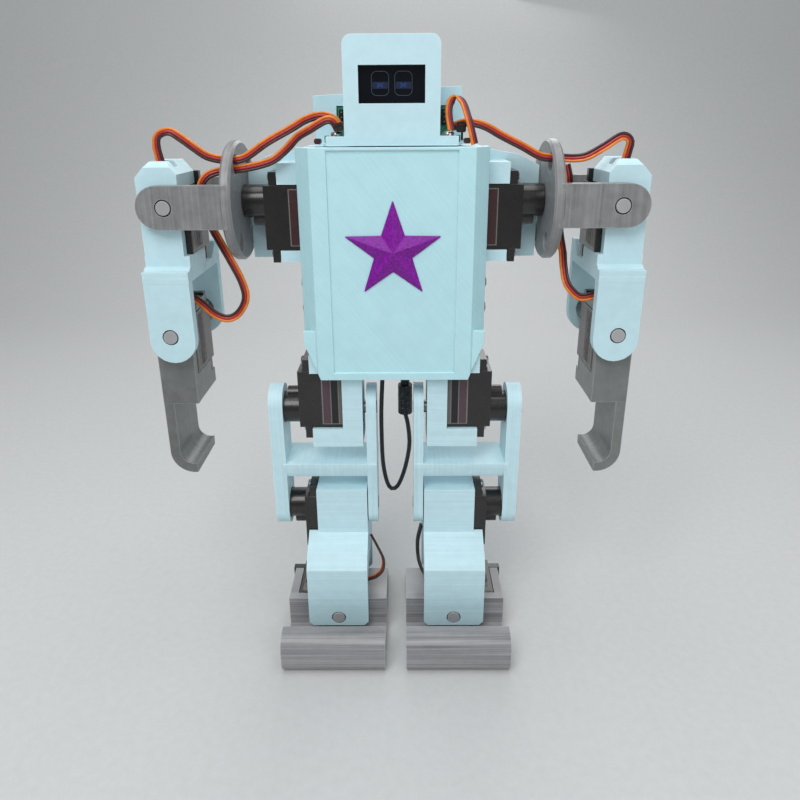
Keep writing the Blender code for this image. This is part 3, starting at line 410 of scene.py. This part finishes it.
def circuit(name):
    """A board's green mask over raised tracks, with bright pads."""
    made = Surface(name)
    own = made.add("TexCoord").outputs["Object"]
    flat = made.add("Mapping", {"Vector": own, "Rotation": (radians(90), 0, 0), "Scale": (900, 900, 900)})
    tracks = made.add("TexBrick", {"Vector": flat.outputs["Vector"], "Scale": 1.0, "Mortar Size": 0.05,
                                   "Color1": (0, 0, 0, 1), "Color2": (0.1, 0.1, 0.1, 1),
                                   "Mortar": (1, 1, 1, 1)}).outputs["Fac"]
    pads = made.add("TexVoronoi", {"Vector": flat.outputs["Vector"], "Scale": 0.45}).outputs["Distance"]
    grain = made.noise((1500, 1500, 1500), 3.0)
    body = made.blend(made.remap(grain, 0.3, 0.7, 0, 1), (0.004, 0.10, 0.05), (0.01, 0.19, 0.10))
    body = made.blend(made.maths("MULTIPLY", tracks, 0.6), body, (0.05, 0.34, 0.2))
    body = made.blend(made.remap(pads, 0.16, 0.1, 0, 1), body, (0.62, 0.6, 0.5))
    return made.finish(body, made.remap(grain, 0.3, 0.7, 0.25, 0.42), tracks, 0.00006, 0.5,
                       Coat_Weight=0.4)


def screen_glass(name):
    """The dark glass of the display, with a little dust."""
    made = Surface(name)
    dust = made.noise((3000, 3000, 3000), 2.0)
    cloud = made.noise((60, 60, 60), 3.0)
    body = made.blend(made.remap(cloud, 0.3, 0.7, 0, 1), (0.002, 0.003, 0.005), (0.004, 0.006, 0.010))
    body = made.blend(made.remap(dust, 0.7, 0.8, 0, 0.12), body, (0.08, 0.10, 0.12))
    return made.finish(body, made.remap(dust, 0.3, 0.8, 0.06, 0.16), Specular_IOR_Level=0.22)


def pixel_light(name, colour, strength):
    """Faintly lit pixels of the display."""
    made = Surface(name)
    cells = made.noise((5200, 5200, 5200), 1.0)
    body = made.blend(made.remap(cells, 0.35, 0.65, 0, 1), tuple(c * 0.5 for c in colour), colour)
    made.fill(made.shader, {"Emission Color": body, "Emission Strength": strength})
    return made.finish(body, 0.3)


PALE = (0.60, 0.84, 0.91)
# Painted highlight colour: the pale tone that pale prints' edges are blended towards.
PALE_EDGE_HIGHLIGHT = (0.90, 0.98, 1.0)
COVER_PALE = (0.52, 0.82, 0.88)
GREY = (0.25, 0.25, 0.255)
# ARM_GREY's faint green tint is a painted reflection of green surroundings.
ARM_GREY = (0.19, 0.20, 0.195)
# Painted highlight colour for the grey prints' edges.
GREY_EDGE_HIGHLIGHT = (0.56, 0.55, 0.56)
PRINTS = {axis: printed(f"pale_print_{axis}", PALE, PALE_EDGE_HIGHLIGHT, axis) for axis in "XYZ"}
# For each print below, the second colour is the painted highlight that its edges are blended towards.
YOKE_SILK = printed("grey_yoke_print", GREY, GREY_EDGE_HIGHLIGHT, "X", 0.26, 1.0, 0.36, 0.2)
ARM_SILK = printed("grey_forearm_print", ARM_GREY, GREY_EDGE_HIGHLIGHT, "Y", 0.26, 1.0, 0.36, 0.2)
FOOT_SILK = printed("grey_foot_print", (0.31, 0.31, 0.32), (0.66, 0.65, 0.66), "Z", 0.26, 1.0,
                    0.34, 0.25, 0.1, 0.14)
PIN_GREY = printed("grey_pin_print", (0.40, 0.40, 0.41), (0.66, 0.66, 0.66), "Y", 0.12, 0.6, 0.4)
COVER = recess_print("chest_cover_print", COVER_PALE, PALE_EDGE_HIGHLIGHT)
PURPLE = sparkle_print("purple_print")
SERVO = smoky_plastic("servo_case")
STEEL = metal("turned_steel", (0.42, 0.40, 0.39), 0.36, "Y")
BRIGHT = metal("screw_steel", (0.66, 0.65, 0.63), 0.24, "Z")
BRASS = metal("servo_gear_metal", (0.50, 0.40, 0.28), 0.3, "Y")
BLACK = wire_plastic("black_rubber", (0.014, 0.014, 0.015))
KNURL = knurled_rubber("knurled_rubber")
ORANGE = wire_plastic("orange_wire", (0.93, 0.26, 0.02))
RED = wire_plastic("red_wire", (0.48, 0.028, 0.035))
BROWN = wire_plastic("brown_wire", (0.055, 0.022, 0.018))
BOARD = circuit("circuit_board")
GLASS = screen_glass("display_glass")
BLUE_LIGHT = pixel_light("display_blue", (0.006, 0.014, 0.055), 0.35)
LINE_LIGHT = pixel_light("display_line", (0.05, 0.07, 0.09), 0.3)
PUPIL_LIGHT = pixel_light("display_pupil", (0.02, 0.06, 0.18), 0.5)
PLUG_BROWN = wire_plastic("plug_brown", (0.055, 0.016, 0.014))
ANKLE_WIRES = {"left": (BLACK, BLACK, BLACK), "right": (BROWN, RED, ORANGE)}
WRAP = smoky_plastic("battery_wrap", (0.006, 0.03, 0.12), (0.012, 0.06, 0.22))
LABEL_LINE = label_paper("label_line", (0.20, 0.19, 0.17))
LABEL_GREY = label_paper("label_grey", (0.13, 0.13, 0.12))
LABEL_BLACK = label_paper("label_black", (0.008, 0.008, 0.009))
LABEL_BROWN = label_paper("label_brown", (0.085, 0.048, 0.062))
LABEL_RED = label_paper("label_red", (0.055, 0.014, 0.016))


# ---------------------------------------------------------------- the CAD nodes' surfaces
# Facets within FLAT_ANGLE become one flat face, edges sharper than EDGE_ANGLE are rounded, and
# the new pieces' edges show as edges past PIECE_ANGLE
FLAT_ANGLE, EDGE_ANGLE, PIECE_ANGLE = radians(0.6), radians(32), radians(38)
WELD_GAP = 0.00001


def soften(node, width, joined):
    """Rounds the edges a little, once the facets of flat faces are joined."""
    weld = node.modifiers.new("weld", "WELD")
    weld.merge_threshold = WELD_GAP
    if joined:
        merge = node.modifiers.new("flat", "DECIMATE")
        merge.decimate_type = "DISSOLVE"
        merge.angle_limit = FLAT_ANGLE
    if width:
        bevel = node.modifiers.new("round", "BEVEL")
        bevel.width = width * MM
        bevel.segments = 2
        bevel.limit_method = "ANGLE"
        bevel.angle_limit = EDGE_ANGLE
        bevel.harden_normals = True
        even = node.modifiers.new("even", "WEIGHTED_NORMAL")
        even.keep_sharp = True


def dress(name, material, width, joined=True):
    """Gives a CAD node its surface, and its edges a width in millimetres."""
    node = NODES[name]
    node.data.materials.clear()
    node.data.materials.append(material)
    node.data.shade_smooth()
    node.data.set_sharp_from_angle(angle=EDGE_ANGLE)
    soften(node, width, joined)


def dress_all():
    """Surfaces for the CAD nodes that stay."""
    dress("torso_frame", PRINTS["Y"], 0.3)
    dress("chest_cover", COVER, 0.4)
    dress("chest_star", PURPLE, 0.25)
    dress("head_shell", PRINTS["Y"], 0.5)
    dress("back_shell", PRINTS["Y"], 0.5)
    dress("face_display", GLASS, 0.1)
    dress("control_board", BOARD, 0.0)
    dress("battery_pack", WRAP, 0.8)
    dress("power_plug", KNURL, 0.4)
    for word, _ in SIDES:
        for name in SERVOS:
            dress(f"{word}_{name}_servo", SERVO, 0.25)
        dress(f"{word}_shoulder_yoke", YOKE_SILK, 0.3)
        dress(f"{word}_forearm_hook", ARM_SILK, 0.3)
        dress(f"{word}_foot", FOOT_SILK, 0.35)
        dress(f"{word}_upper_arm", PRINTS["Y"], 0.15, False)
        dress(f"{word}_hip_bracket", PRINTS["Z"], 0.3)
        dress(f"{word}_thigh_frame", PRINTS["X"], 0.4)
        dress(f"{word}_shank", PRINTS["Z"], 0.35)
        for name in ("shoulder", "elbow", "ankle"):
            dress(f"{word}_{name}_pin", PIN_GREY, 0.2)
        for name in ("hip", "knee"):
            dress(f"{word}_{name}_pin", STEEL, 0.2)


# ---------------------------------------------------------------- small pieces
def new_piece(name, bm, materials, body):
    """An object from a mesh whose faces are first turned out, riding on a body if one is given."""
    bmesh.ops.recalc_face_normals(bm, faces=bm.faces)
    mesh = bpy.data.meshes.new(name)
    bm.to_mesh(mesh)
    bm.free()
    mesh.shade_smooth()
    mesh.set_sharp_from_angle(angle=PIECE_ANGLE)
    obj = bpy.data.objects.new(name, mesh)
    bpy.context.scene.collection.objects.link(obj)
    for material in materials:
        mesh.materials.append(material)
    if body:
        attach(obj, body)
    return obj


def facing(place, out):
    """A matrix at a place in metres: z points out of a surface, never straight up, and y leans up."""
    up = Vector((0, 0, 1))
    z = Vector(out).normalized()
    y = (up - up.dot(z) * z).normalized()
    turn = Matrix((y.cross(z), y, z)).transposed().to_4x4()
    return Matrix.Translation(place) @ turn


def block(bm, matrix, size, centre=(0, 0, 0), bevel=0.0, slot=0):
    """A box of the given size in millimetres, its edges bevelled."""
    made = bmesh.ops.create_cube(bm, size=1)["verts"]
    bmesh.ops.scale(bm, vec=Vector(size) * MM, verts=made)
    bmesh.ops.translate(bm, vec=Vector(centre) * MM, verts=made)
    if bevel:
        edges = list({edge for vert in made for edge in vert.link_edges})
        cut = bmesh.ops.bevel(bm, geom=edges, offset=bevel * MM, segments=2, affect="EDGES")
        made = list({vert for face in cut["faces"] for vert in face.verts})
    for face in {face for vert in made for face in vert.link_faces}:
        face.material_index = slot
    bmesh.ops.transform(bm, matrix=matrix, verts=made)


def screw(bm, place, out, head, spin):
    """A pan-head screw on a surface: a domed head with a cross-shaped recess."""
    radius, high = head
    matrix = facing(place, out) @ Matrix.Rotation(spin, 4, "Z")
    arm, slit, deep = radius * 0.55, radius * 0.14, high * 0.55
    outline = []
    for quarter in range(4):
        turn = Matrix.Rotation(quarter * pi / 2, 2)
        for x, y in ((slit, slit), (arm, slit), (arm, -slit)):
            outline.append(turn @ Vector((x, y)))
    outline.sort(key=lambda p: p.angle_signed(Vector((1, 0.0001))))
    lip = [bm.verts.new(matrix @ (Vector((*p, high)) * MM)) for p in outline]
    sole = [bm.verts.new(matrix @ (Vector((*(p * 0.72), high - deep)) * MM)) for p in outline]
    count = len(outline)
    rings = []
    for scale, height in ((1.0, 0.0), (1.0, high * 0.42), (0.9, high * 0.78), (0.72, high * 0.98)):
        round_points = [point.normalized() * radius * scale for point in outline]
        rings.append([bm.verts.new(matrix @ (Vector((*p, height)) * MM)) for p in round_points])
    rings += [lip, sole]
    for low, upper in zip(rings, rings[1:]):
        for i in range(count):
            bm.faces.new((low[i], low[(i + 1) % count], upper[(i + 1) % count], upper[i]))
    bm.faces.new(sole)
    bm.faces.new(list(reversed(rings[0])))


def screws(name, body, places, out, head, side):
    """A row of screws as one piece, in layout places on the given side, each turned differently."""
    bm = bmesh.new()
    for i, place in enumerate(places):
        screw(bm, world(place, side), (side * out[0], out[1], out[2]), head, 0.5 + 0.9 * i)
    new_piece(name, bm, [BRIGHT], body)


def servo_matrix(name, side):
    """A servo's own frame: z up its shaft, x to its far end, from its case bottom."""
    origin, shaft, far, _ = SERVOS[name]
    z = Vector((side * shaft[0], shaft[1], shaft[2]))
    x = Vector((side * far[0], far[1], far[2]))
    turn = Matrix((x, z.cross(x) * side, z)).transposed().to_4x4()
    return Matrix.Translation(world(origin, side)) @ turn


def rounded(half_x, half_y, radius, steps=5):
    """A rectangle with round corners, as points round its middle."""
    points = []
    for quarter, (x, y) in enumerate(((1, 1), (-1, 1), (-1, -1), (1, -1))):
        for i in range(steps + 1):
            turn = radians(90 * (quarter + i / steps))
            points.append((x * (half_x - radius) + radius * cos(turn),
                           y * (half_y - radius) + radius * sin(turn)))
    return points


def flat(bm, matrix, outline, high, slot=0, hole=None):
    """A thin plate of an outline on a surface, with an opening of as many points."""
    def ring(points, height):
        return [bm.verts.new(matrix @ (Vector((*p, height)) * MM)) for p in points]

    low, top = ring(outline, 0), ring(outline, high)
    count = len(outline)
    strips = [(low, top)]
    if hole:
        inner_low, inner_top = ring(hole, 0), ring(hole, high)
        strips += [(top, inner_top), (inner_top, inner_low), (inner_low, low)]
    else:
        bm.faces.new(top).material_index = slot
        bm.faces.new(list(reversed(low))).material_index = slot
    for a, b in strips:
        for i in range(count):
            bm.faces.new((a[i], a[(i + 1) % count], b[(i + 1) % count], b[i])).material_index = slot


def body_of(word, holder):
    """A holder's body name on one side."""
    return holder if holder == "torso" else f"{word}_{holder}"


def make_labels():
    """Foil labels of plain bands on both flat sides of each servo."""
    middle, length = sum(LABEL_X) / 2, LABEL_X[1] - LABEL_X[0]
    label_y = CASE_HALF + LABEL_THICK / 2
    band_y = CASE_HALF + LABEL_THICK + BAND_THICK / 2
    colours = [LABEL_LINE, LABEL_GREY, LABEL_BLACK, LABEL_BROWN, LABEL_RED]
    for word, side in SIDES:
        for name, (_, _, _, holder) in SERVOS.items():
            bm = bmesh.new()
            matrix = servo_matrix(name, side)
            for face in (-1, 1):
                block(bm, matrix, (length, LABEL_THICK, LABEL_Z[1] - LABEL_Z[0]),
                      (middle, face * label_y, sum(LABEL_Z) / 2))
                for low, high, slot in SHOULDER_BANDS if name == "shoulder" else BANDS:
                    block(bm, matrix, (length - 2 * LABEL_EDGE, BAND_THICK, high - low),
                          (middle, face * band_y, (low + high) / 2), 0.0, slot)
            new_piece(f"{word}_{name}_servo_label", bm, colours, body_of(word, holder))


def make_servo_screws():
    """Two screws through each servo's ears, and the horn screw at the end of its shaft."""
    for word, side in SIDES:
        for name, (_, _, _, holder) in SERVOS.items():
            bm = bmesh.new()
            matrix = servo_matrix(name, side)
            up_shaft = matrix.to_3x3() @ Vector((0, 0, 1))
            for i, x in enumerate(EAR_HOLES):
                screw(bm, matrix @ (Vector((x, 0, EAR_TOP)) * MM), up_shaft, EAR_SCREW, 0.6 + i)
            screw(bm, matrix @ (Vector((0, 0, SPLINE_TOP)) * MM), up_shaft, SHAFT_SCREW, 0.3)
            new_piece(f"{word}_{name}_servo_screws", bm, [BRIGHT], body_of(word, holder))


def make_frame_screws():
    """Screws through the head's flange, the cover's sides, the thigh plates and the rear arms."""
    sideways, backwards, nearly_up = (1, 0, 0), (0, 1, 0), (0, 0.01, 1)
    for word, side in SIDES:
        screws(f"{word}_head_screw", "torso", [HEAD_SCREW_PLACE], nearly_up, HEAD_SCREW, side)
        cover = [(COVER_SCREW_X, COVER_SCREW_Y, z) for z in COVER_SCREW_Z]
        screws(f"{word}_cover_screws", "torso", cover, sideways, COVER_SCREW, side)
        thigh = [(THIGH_FACE, LEG_Y + gap, z) for gap in (-THIGH_GAP, THIGH_GAP) for z in (HIP_Z, KNEE_Z)]
        screws(f"{word}_thigh_screws", f"{word}_thigh", thigh, sideways, HORN_SCREW, side)
        for name, (x, z, plate_back, gap, holder) in REAR_HORNS.items():
            pair = [(x - gap, plate_back, z), (x + gap, plate_back, z)]
            screws(f"{word}_{name}_horn_screws", f"{word}_{holder}", pair, backwards, HORN_SCREW, side)


def make_eyes():
    """Two square eyes lit on the display: an outline, a band and a crossed pupil."""
    bm = bmesh.new()
    inner = (EYE_HALF - EYE_LINE, EYE_HIGH - EYE_LINE, EYE_ROUND - EYE_LINE)
    for x in (-EYE_X, EYE_X):
        front = facing(world((x, SCREEN_Y, EYE_Z)), (0, -1, 0))
        flat(bm, front, rounded(EYE_HALF, EYE_HIGH, EYE_ROUND), 0.05, 0, rounded(*inner))
        band = facing(world((x, SCREEN_Y, EYE_Z - EYE_BAND_DROP)), (0, -1, 0))
        flat(bm, band, rounded(EYE_HALF - 0.35, 1.05, 0.3), 0.04, 1)
        for lean in (-PUPIL_LEAN, PUPIL_LEAN):
            cross = band @ Matrix.Rotation(radians(lean), 4, "Z")
            flat(bm, cross, rounded(1.1, 0.16, 0.08), 0.07, 2)
    new_piece("face_eyes", bm, [LINE_LIGHT, BLUE_LIGHT, PUPIL_LIGHT], "torso")


def make_deck_connectors():
    """Dark lead housings on the deck beside the head, each with a lip on its front."""
    bm = bmesh.new()
    lean = Matrix.Rotation(radians(HOUSING_LEAN), 4, "Y")
    row = Matrix.Translation(world(HOUSING_ROW, -1)) @ lean
    for i in range(3):
        block(bm, row, (3.4, 2.7, 2.6), (0, HOUSING_STEP * i - 2.0, 0), 0.3, 1)
        block(bm, row, (2.2, 0.4, 0.6), (0, HOUSING_STEP * i - 3.4, 0.3), 0.1, 0)
    single = Matrix.Translation(world(SINGLE_HOUSING))
    block(bm, single, (3.2, 2.4, 3.4), (0, 0, 0), 0.3, 0)
    block(bm, single, (2.2, 0.4, 0.6), (0.2, -1.3, 0.8), 0.1, 1)
    block(bm, single, (0.7, 0.7, 2.8), (0.3, -0.4, -3.0), 0.15, 0)
    for side in (-1, 1):
        low = Matrix.Translation(world(LOW_HOUSING, side))
        block(bm, low, (2.2, 4.4, 1.8), (0, 0, 0), 0.3, 1)
        block(bm, low, (1.6, 1.8, 2.4), (-side * 3.0, 1.6, 0.6), 0.2, 2)
    new_piece("deck_connectors", bm, [LABEL_BLACK, PLUG_BROWN, BOARD], "torso")


def make_board_headers():
    """A three-pin header at each side of the board."""
    bm = bmesh.new()
    for side in (-1, 1):
        row = Matrix.Translation(world(HEADER, side))
        block(bm, row, (2.2, 1.0, 5.4), (0, 0, 0), 0.15, 0)
        for i in (-1, 0, 1):
            block(bm, row, (0.5, 1.8, 0.5), (0, -1.2, PIN_STEP * i), 0.1, 1)
    new_piece("board_headers", bm, [LABEL_BLACK, BRASS], "torso")


# ---------------------------------------------------------------- leads
def smooth_route(route, spacing):
    """Evenly spaced points on a smooth curve through a route's own points."""
    points = [Vector(p) for p in route]
    ends = [2 * points[0] - points[1]] + points + [2 * points[-1] - points[-2]]
    fine = []
    steps = 20
    for a, b, c, d in zip(ends, ends[1:], ends[2:], ends[3:]):
        for t in (i / steps for i in range(steps)):
            fine.append(0.5 * (2 * b + (c - a) * t + (2 * a - 5 * b + 4 * c - d) * t ** 2
                               + (3 * b - a - 3 * c + d) * t ** 3))
    fine.append(points[-1])
    length = sum((b - a).length for a, b in zip(fine, fine[1:]))
    count = max(4, round(length / spacing))
    even, walked, target = [fine[0]], 0.0, length / count
    for a, b in zip(fine, fine[1:]):
        step = (b - a).length
        while walked + step >= target * len(even) and len(even) < count:
            even.append(a.lerp(b, (target * len(even) - walked) / step))
        walked += step
    return even + [fine[-1]]


def directions(points):
    """The way a line runs at each of its points."""
    after, before = points[1:] + points[-1:], points[:1] + points[:-1]
    return [(b - a).normalized() for a, b in zip(before, after)]


def open_frames(points, start):
    """A lead's width and thickness at each point, its flat face towards the viewer all along."""
    frames = []
    last = Vector(start)
    for ahead in directions(points):
        width = ahead.cross(VIEWER).normalized()
        if width.dot(last) < 0:
            width = -width
        if frames:
            width = (width * 0.6 + last * 0.4 - ahead * (last.dot(ahead) * 0.4)).normalized()
        last = width
        frames.append((width, ahead.cross(width)))
    return frames


def set_frames(points, across):
    """The same, but with the width kept as near as can be to one direction."""
    frames = []
    for ahead in directions(points):
        width = (Vector(across) - ahead.dot(Vector(across)) * ahead).normalized()
        frames.append((width, ahead.cross(width)))
    return frames


def tube(bm, centres, frames, radius, sides, slot=0):
    """A closed tube along centre points."""
    rings = []
    for centre, (width, thick) in zip(centres, frames):
        rings.append([bm.verts.new(centre + radius * (width * cos(t) + thick * sin(t)))
                      for t in (2 * pi * k / sides for k in range(sides))])
    for a, b in zip(rings, rings[1:]):
        for k in range(sides):
            face = bm.faces.new((a[k], a[(k + 1) % sides], b[(k + 1) % sides], b[k]))
            face.material_index = slot
    bm.faces.new(list(reversed(rings[0]))).material_index = slot
    bm.faces.new(rings[-1]).material_index = slot


def half_turned(frames, start, end):
    """Frames that roll over by half a turn between two fractions of the way."""
    turned = []
    for i, (width, thick) in enumerate(frames):
        roll = pi * min(1.0, max(0.0, (i / len(frames) - start) / (end - start)))
        turned.append((width * cos(roll) + thick * sin(roll), thick * cos(roll) - width * sin(roll)))
    return turned


def ribbon(name, points, frames, wires=(ORANGE, RED, BROWN)):
    """A flat lead of three wires side by side, the first where the frames' widths point."""
    wire = RIBBON / 6 * MM
    pitch = 1.96 * wire
    bm = bmesh.new()
    for slot, place in enumerate((1, 0, -1)):
        centres = [p + width * place * pitch for p, (width, _) in zip(points, frames)]
        tube(bm, centres, frames, wire, 10, slot)
    return new_piece(name, bm, wires, None)


def declare(node):
    """Hides the CAD node that a new cord piece stands for."""
    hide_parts(node)


def make_arm_leads(word, side):
    """One side's leads from the disc's hole to the head, and down the arm."""
    for name, route in ARM_ROUTES[word].items():
        points = [world(p, side) for p in smooth_route(route, RIBBON_STEP)]
        make_frames = set_frames if (word, name) == HEAD_LOOP else open_frames
        frames = make_frames(points, ORANGE_SIDE[word][name])
        if (word, name) == ROLLED_LEAD:
            frames = half_turned(frames, *ROLL_SPAN)
        piece = ribbon(f"{word}_{name}_ribbon", points, frames)
        if (word, name) == HEAD_LOOP:
            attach(piece, "torso")
        else:
            first, second = (body_of(word, body) for body in LEAD_BODIES[name])
            ends = points[:1] + points[-1:]
            if first == "torso":
                ends.reverse()
            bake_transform(piece)
        declare(f"{word}_{name}")


def make_ankle_lead(word, side):
    """One side's lead from the shank down to the ankle servo."""
    points = [world(p, side) for p in smooth_route(ANKLE_ROUTES[word], RIBBON_STEP)]
    piece = ribbon(f"{word}_ankle_ribbon", points, set_frames(points, ANKLE_ACROSS), ANKLE_WIRES[word])
    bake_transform(piece)
    declare(f"{word}_ankle_lead")


def make_power_cord():
    """The cord that hangs in a loop from the torso's underside into its plug."""
    points = [world(p) for p in smooth_route(POWER_ROUTE, CORD_STEP)]
    bm = bmesh.new()
    tube(bm, points, set_frames(points, (0, 1, 0)), CORD_R * MM, 12)
    cord = new_piece("power_cord", bm, [BLACK], "torso")
    declare("power_lead")


# ---------------------------------------------------------------- stage
def make_floor():
    """A pale floor that curves up behind."""
    bm = bmesh.new()
    bend = [radians(a) for a in range(10, 91, 10)]
    profile = [(FLOOR_FRONT, 0), (FLOOR_BEND, 0)]
    profile += [(FLOOR_BEND + FLOOR_RADIUS * sin(t), FLOOR_RADIUS * (1 - cos(t))) for t in bend]
    profile.append((FLOOR_BEND + FLOOR_RADIUS, WALL_TOP))
    rows = [[bm.verts.new(Vector((x, y, z - FLOOR_DROP)) * MM) for y, z in profile]
            for x in (-FLOOR_HALF, FLOOR_HALF)]
    for i in range(len(profile) - 1):
        bm.faces.new((rows[0][i], rows[1][i], rows[1][i + 1], rows[0][i + 1]))
    mesh = bpy.data.meshes.new("floor")
    bm.to_mesh(mesh)
    bm.free()
    mesh.shade_smooth()
    floor = bpy.data.objects.new("floor", mesh)
    bpy.context.scene.collection.objects.link(floor)
    paper = Surface("floor_paper")
    grain = paper.noise((300, 300, 300), 3.0)
    tone = paper.blend(paper.remap(grain, 0.3, 0.7, 0, 1), (0.60, 0.61, 0.61), (0.63, 0.64, 0.64))
    mesh.materials.append(paper.finish(tone, 0.75, grain, 0.0001, 0.1))


def make_lights():
    """Large soft lights over a faint even sky."""
    for name, (place, size, power) in LIGHTS.items():
        light = bpy.data.lights.new(name, "AREA")
        light.energy = power
        light.size = size * MM
        lamp = bpy.data.objects.new(name, light)
        lamp.location = Vector(place) * MM
        aim = Vector(LIGHT_TARGET) * MM - lamp.location
        lamp.rotation_euler = aim.to_track_quat("-Z", "Y").to_euler()
        bpy.context.scene.collection.objects.link(lamp)
    studio = bpy.data.worlds.new("studio")
    studio.use_nodes = True
    sky = studio.node_tree.nodes["Background"]
    sky.inputs["Color"].default_value = (0.93, 0.96, 1.0, 1)
    sky.inputs["Strength"].default_value = 0.32
    bpy.context.scene.world = studio
    bpy.context.scene.view_settings.view_transform = "Standard"


def make_camera():
    """The camera in front of the robot, looking a little down."""
    camera = bpy.data.cameras.new("camera")
    camera.lens = CAMERA_LENS
    camera.sensor_width = 36
    camera.shift_y = CAMERA_SHIFT_Y
    camera.clip_start = 0.01
    seat = bpy.data.objects.new("camera", camera)
    pan = Matrix.Rotation(radians(CAMERA_PAN), 4, "Z")
    tilt = Matrix.Rotation(radians(CAMERA_TILT), 4, "X")
    roll = Matrix.Rotation(radians(CAMERA_ROLL), 4, "Z")
    seat.matrix_world = Matrix.Translation(Vector(CAMERA_PLACE) * MM) @ pan @ tilt @ roll
    bpy.context.scene.collection.objects.link(seat)
    bpy.context.scene.camera = seat


make_floor()
make_lights()
make_camera()
for side_word, side_sign in SIDES:
    make_arm_leads(side_word, side_sign)
    make_ankle_lead(side_word, side_sign)
make_power_cord()
dress_all()
make_labels()
make_servo_screws()
make_frame_screws()
make_eyes()
make_deck_connectors()
make_board_headers()
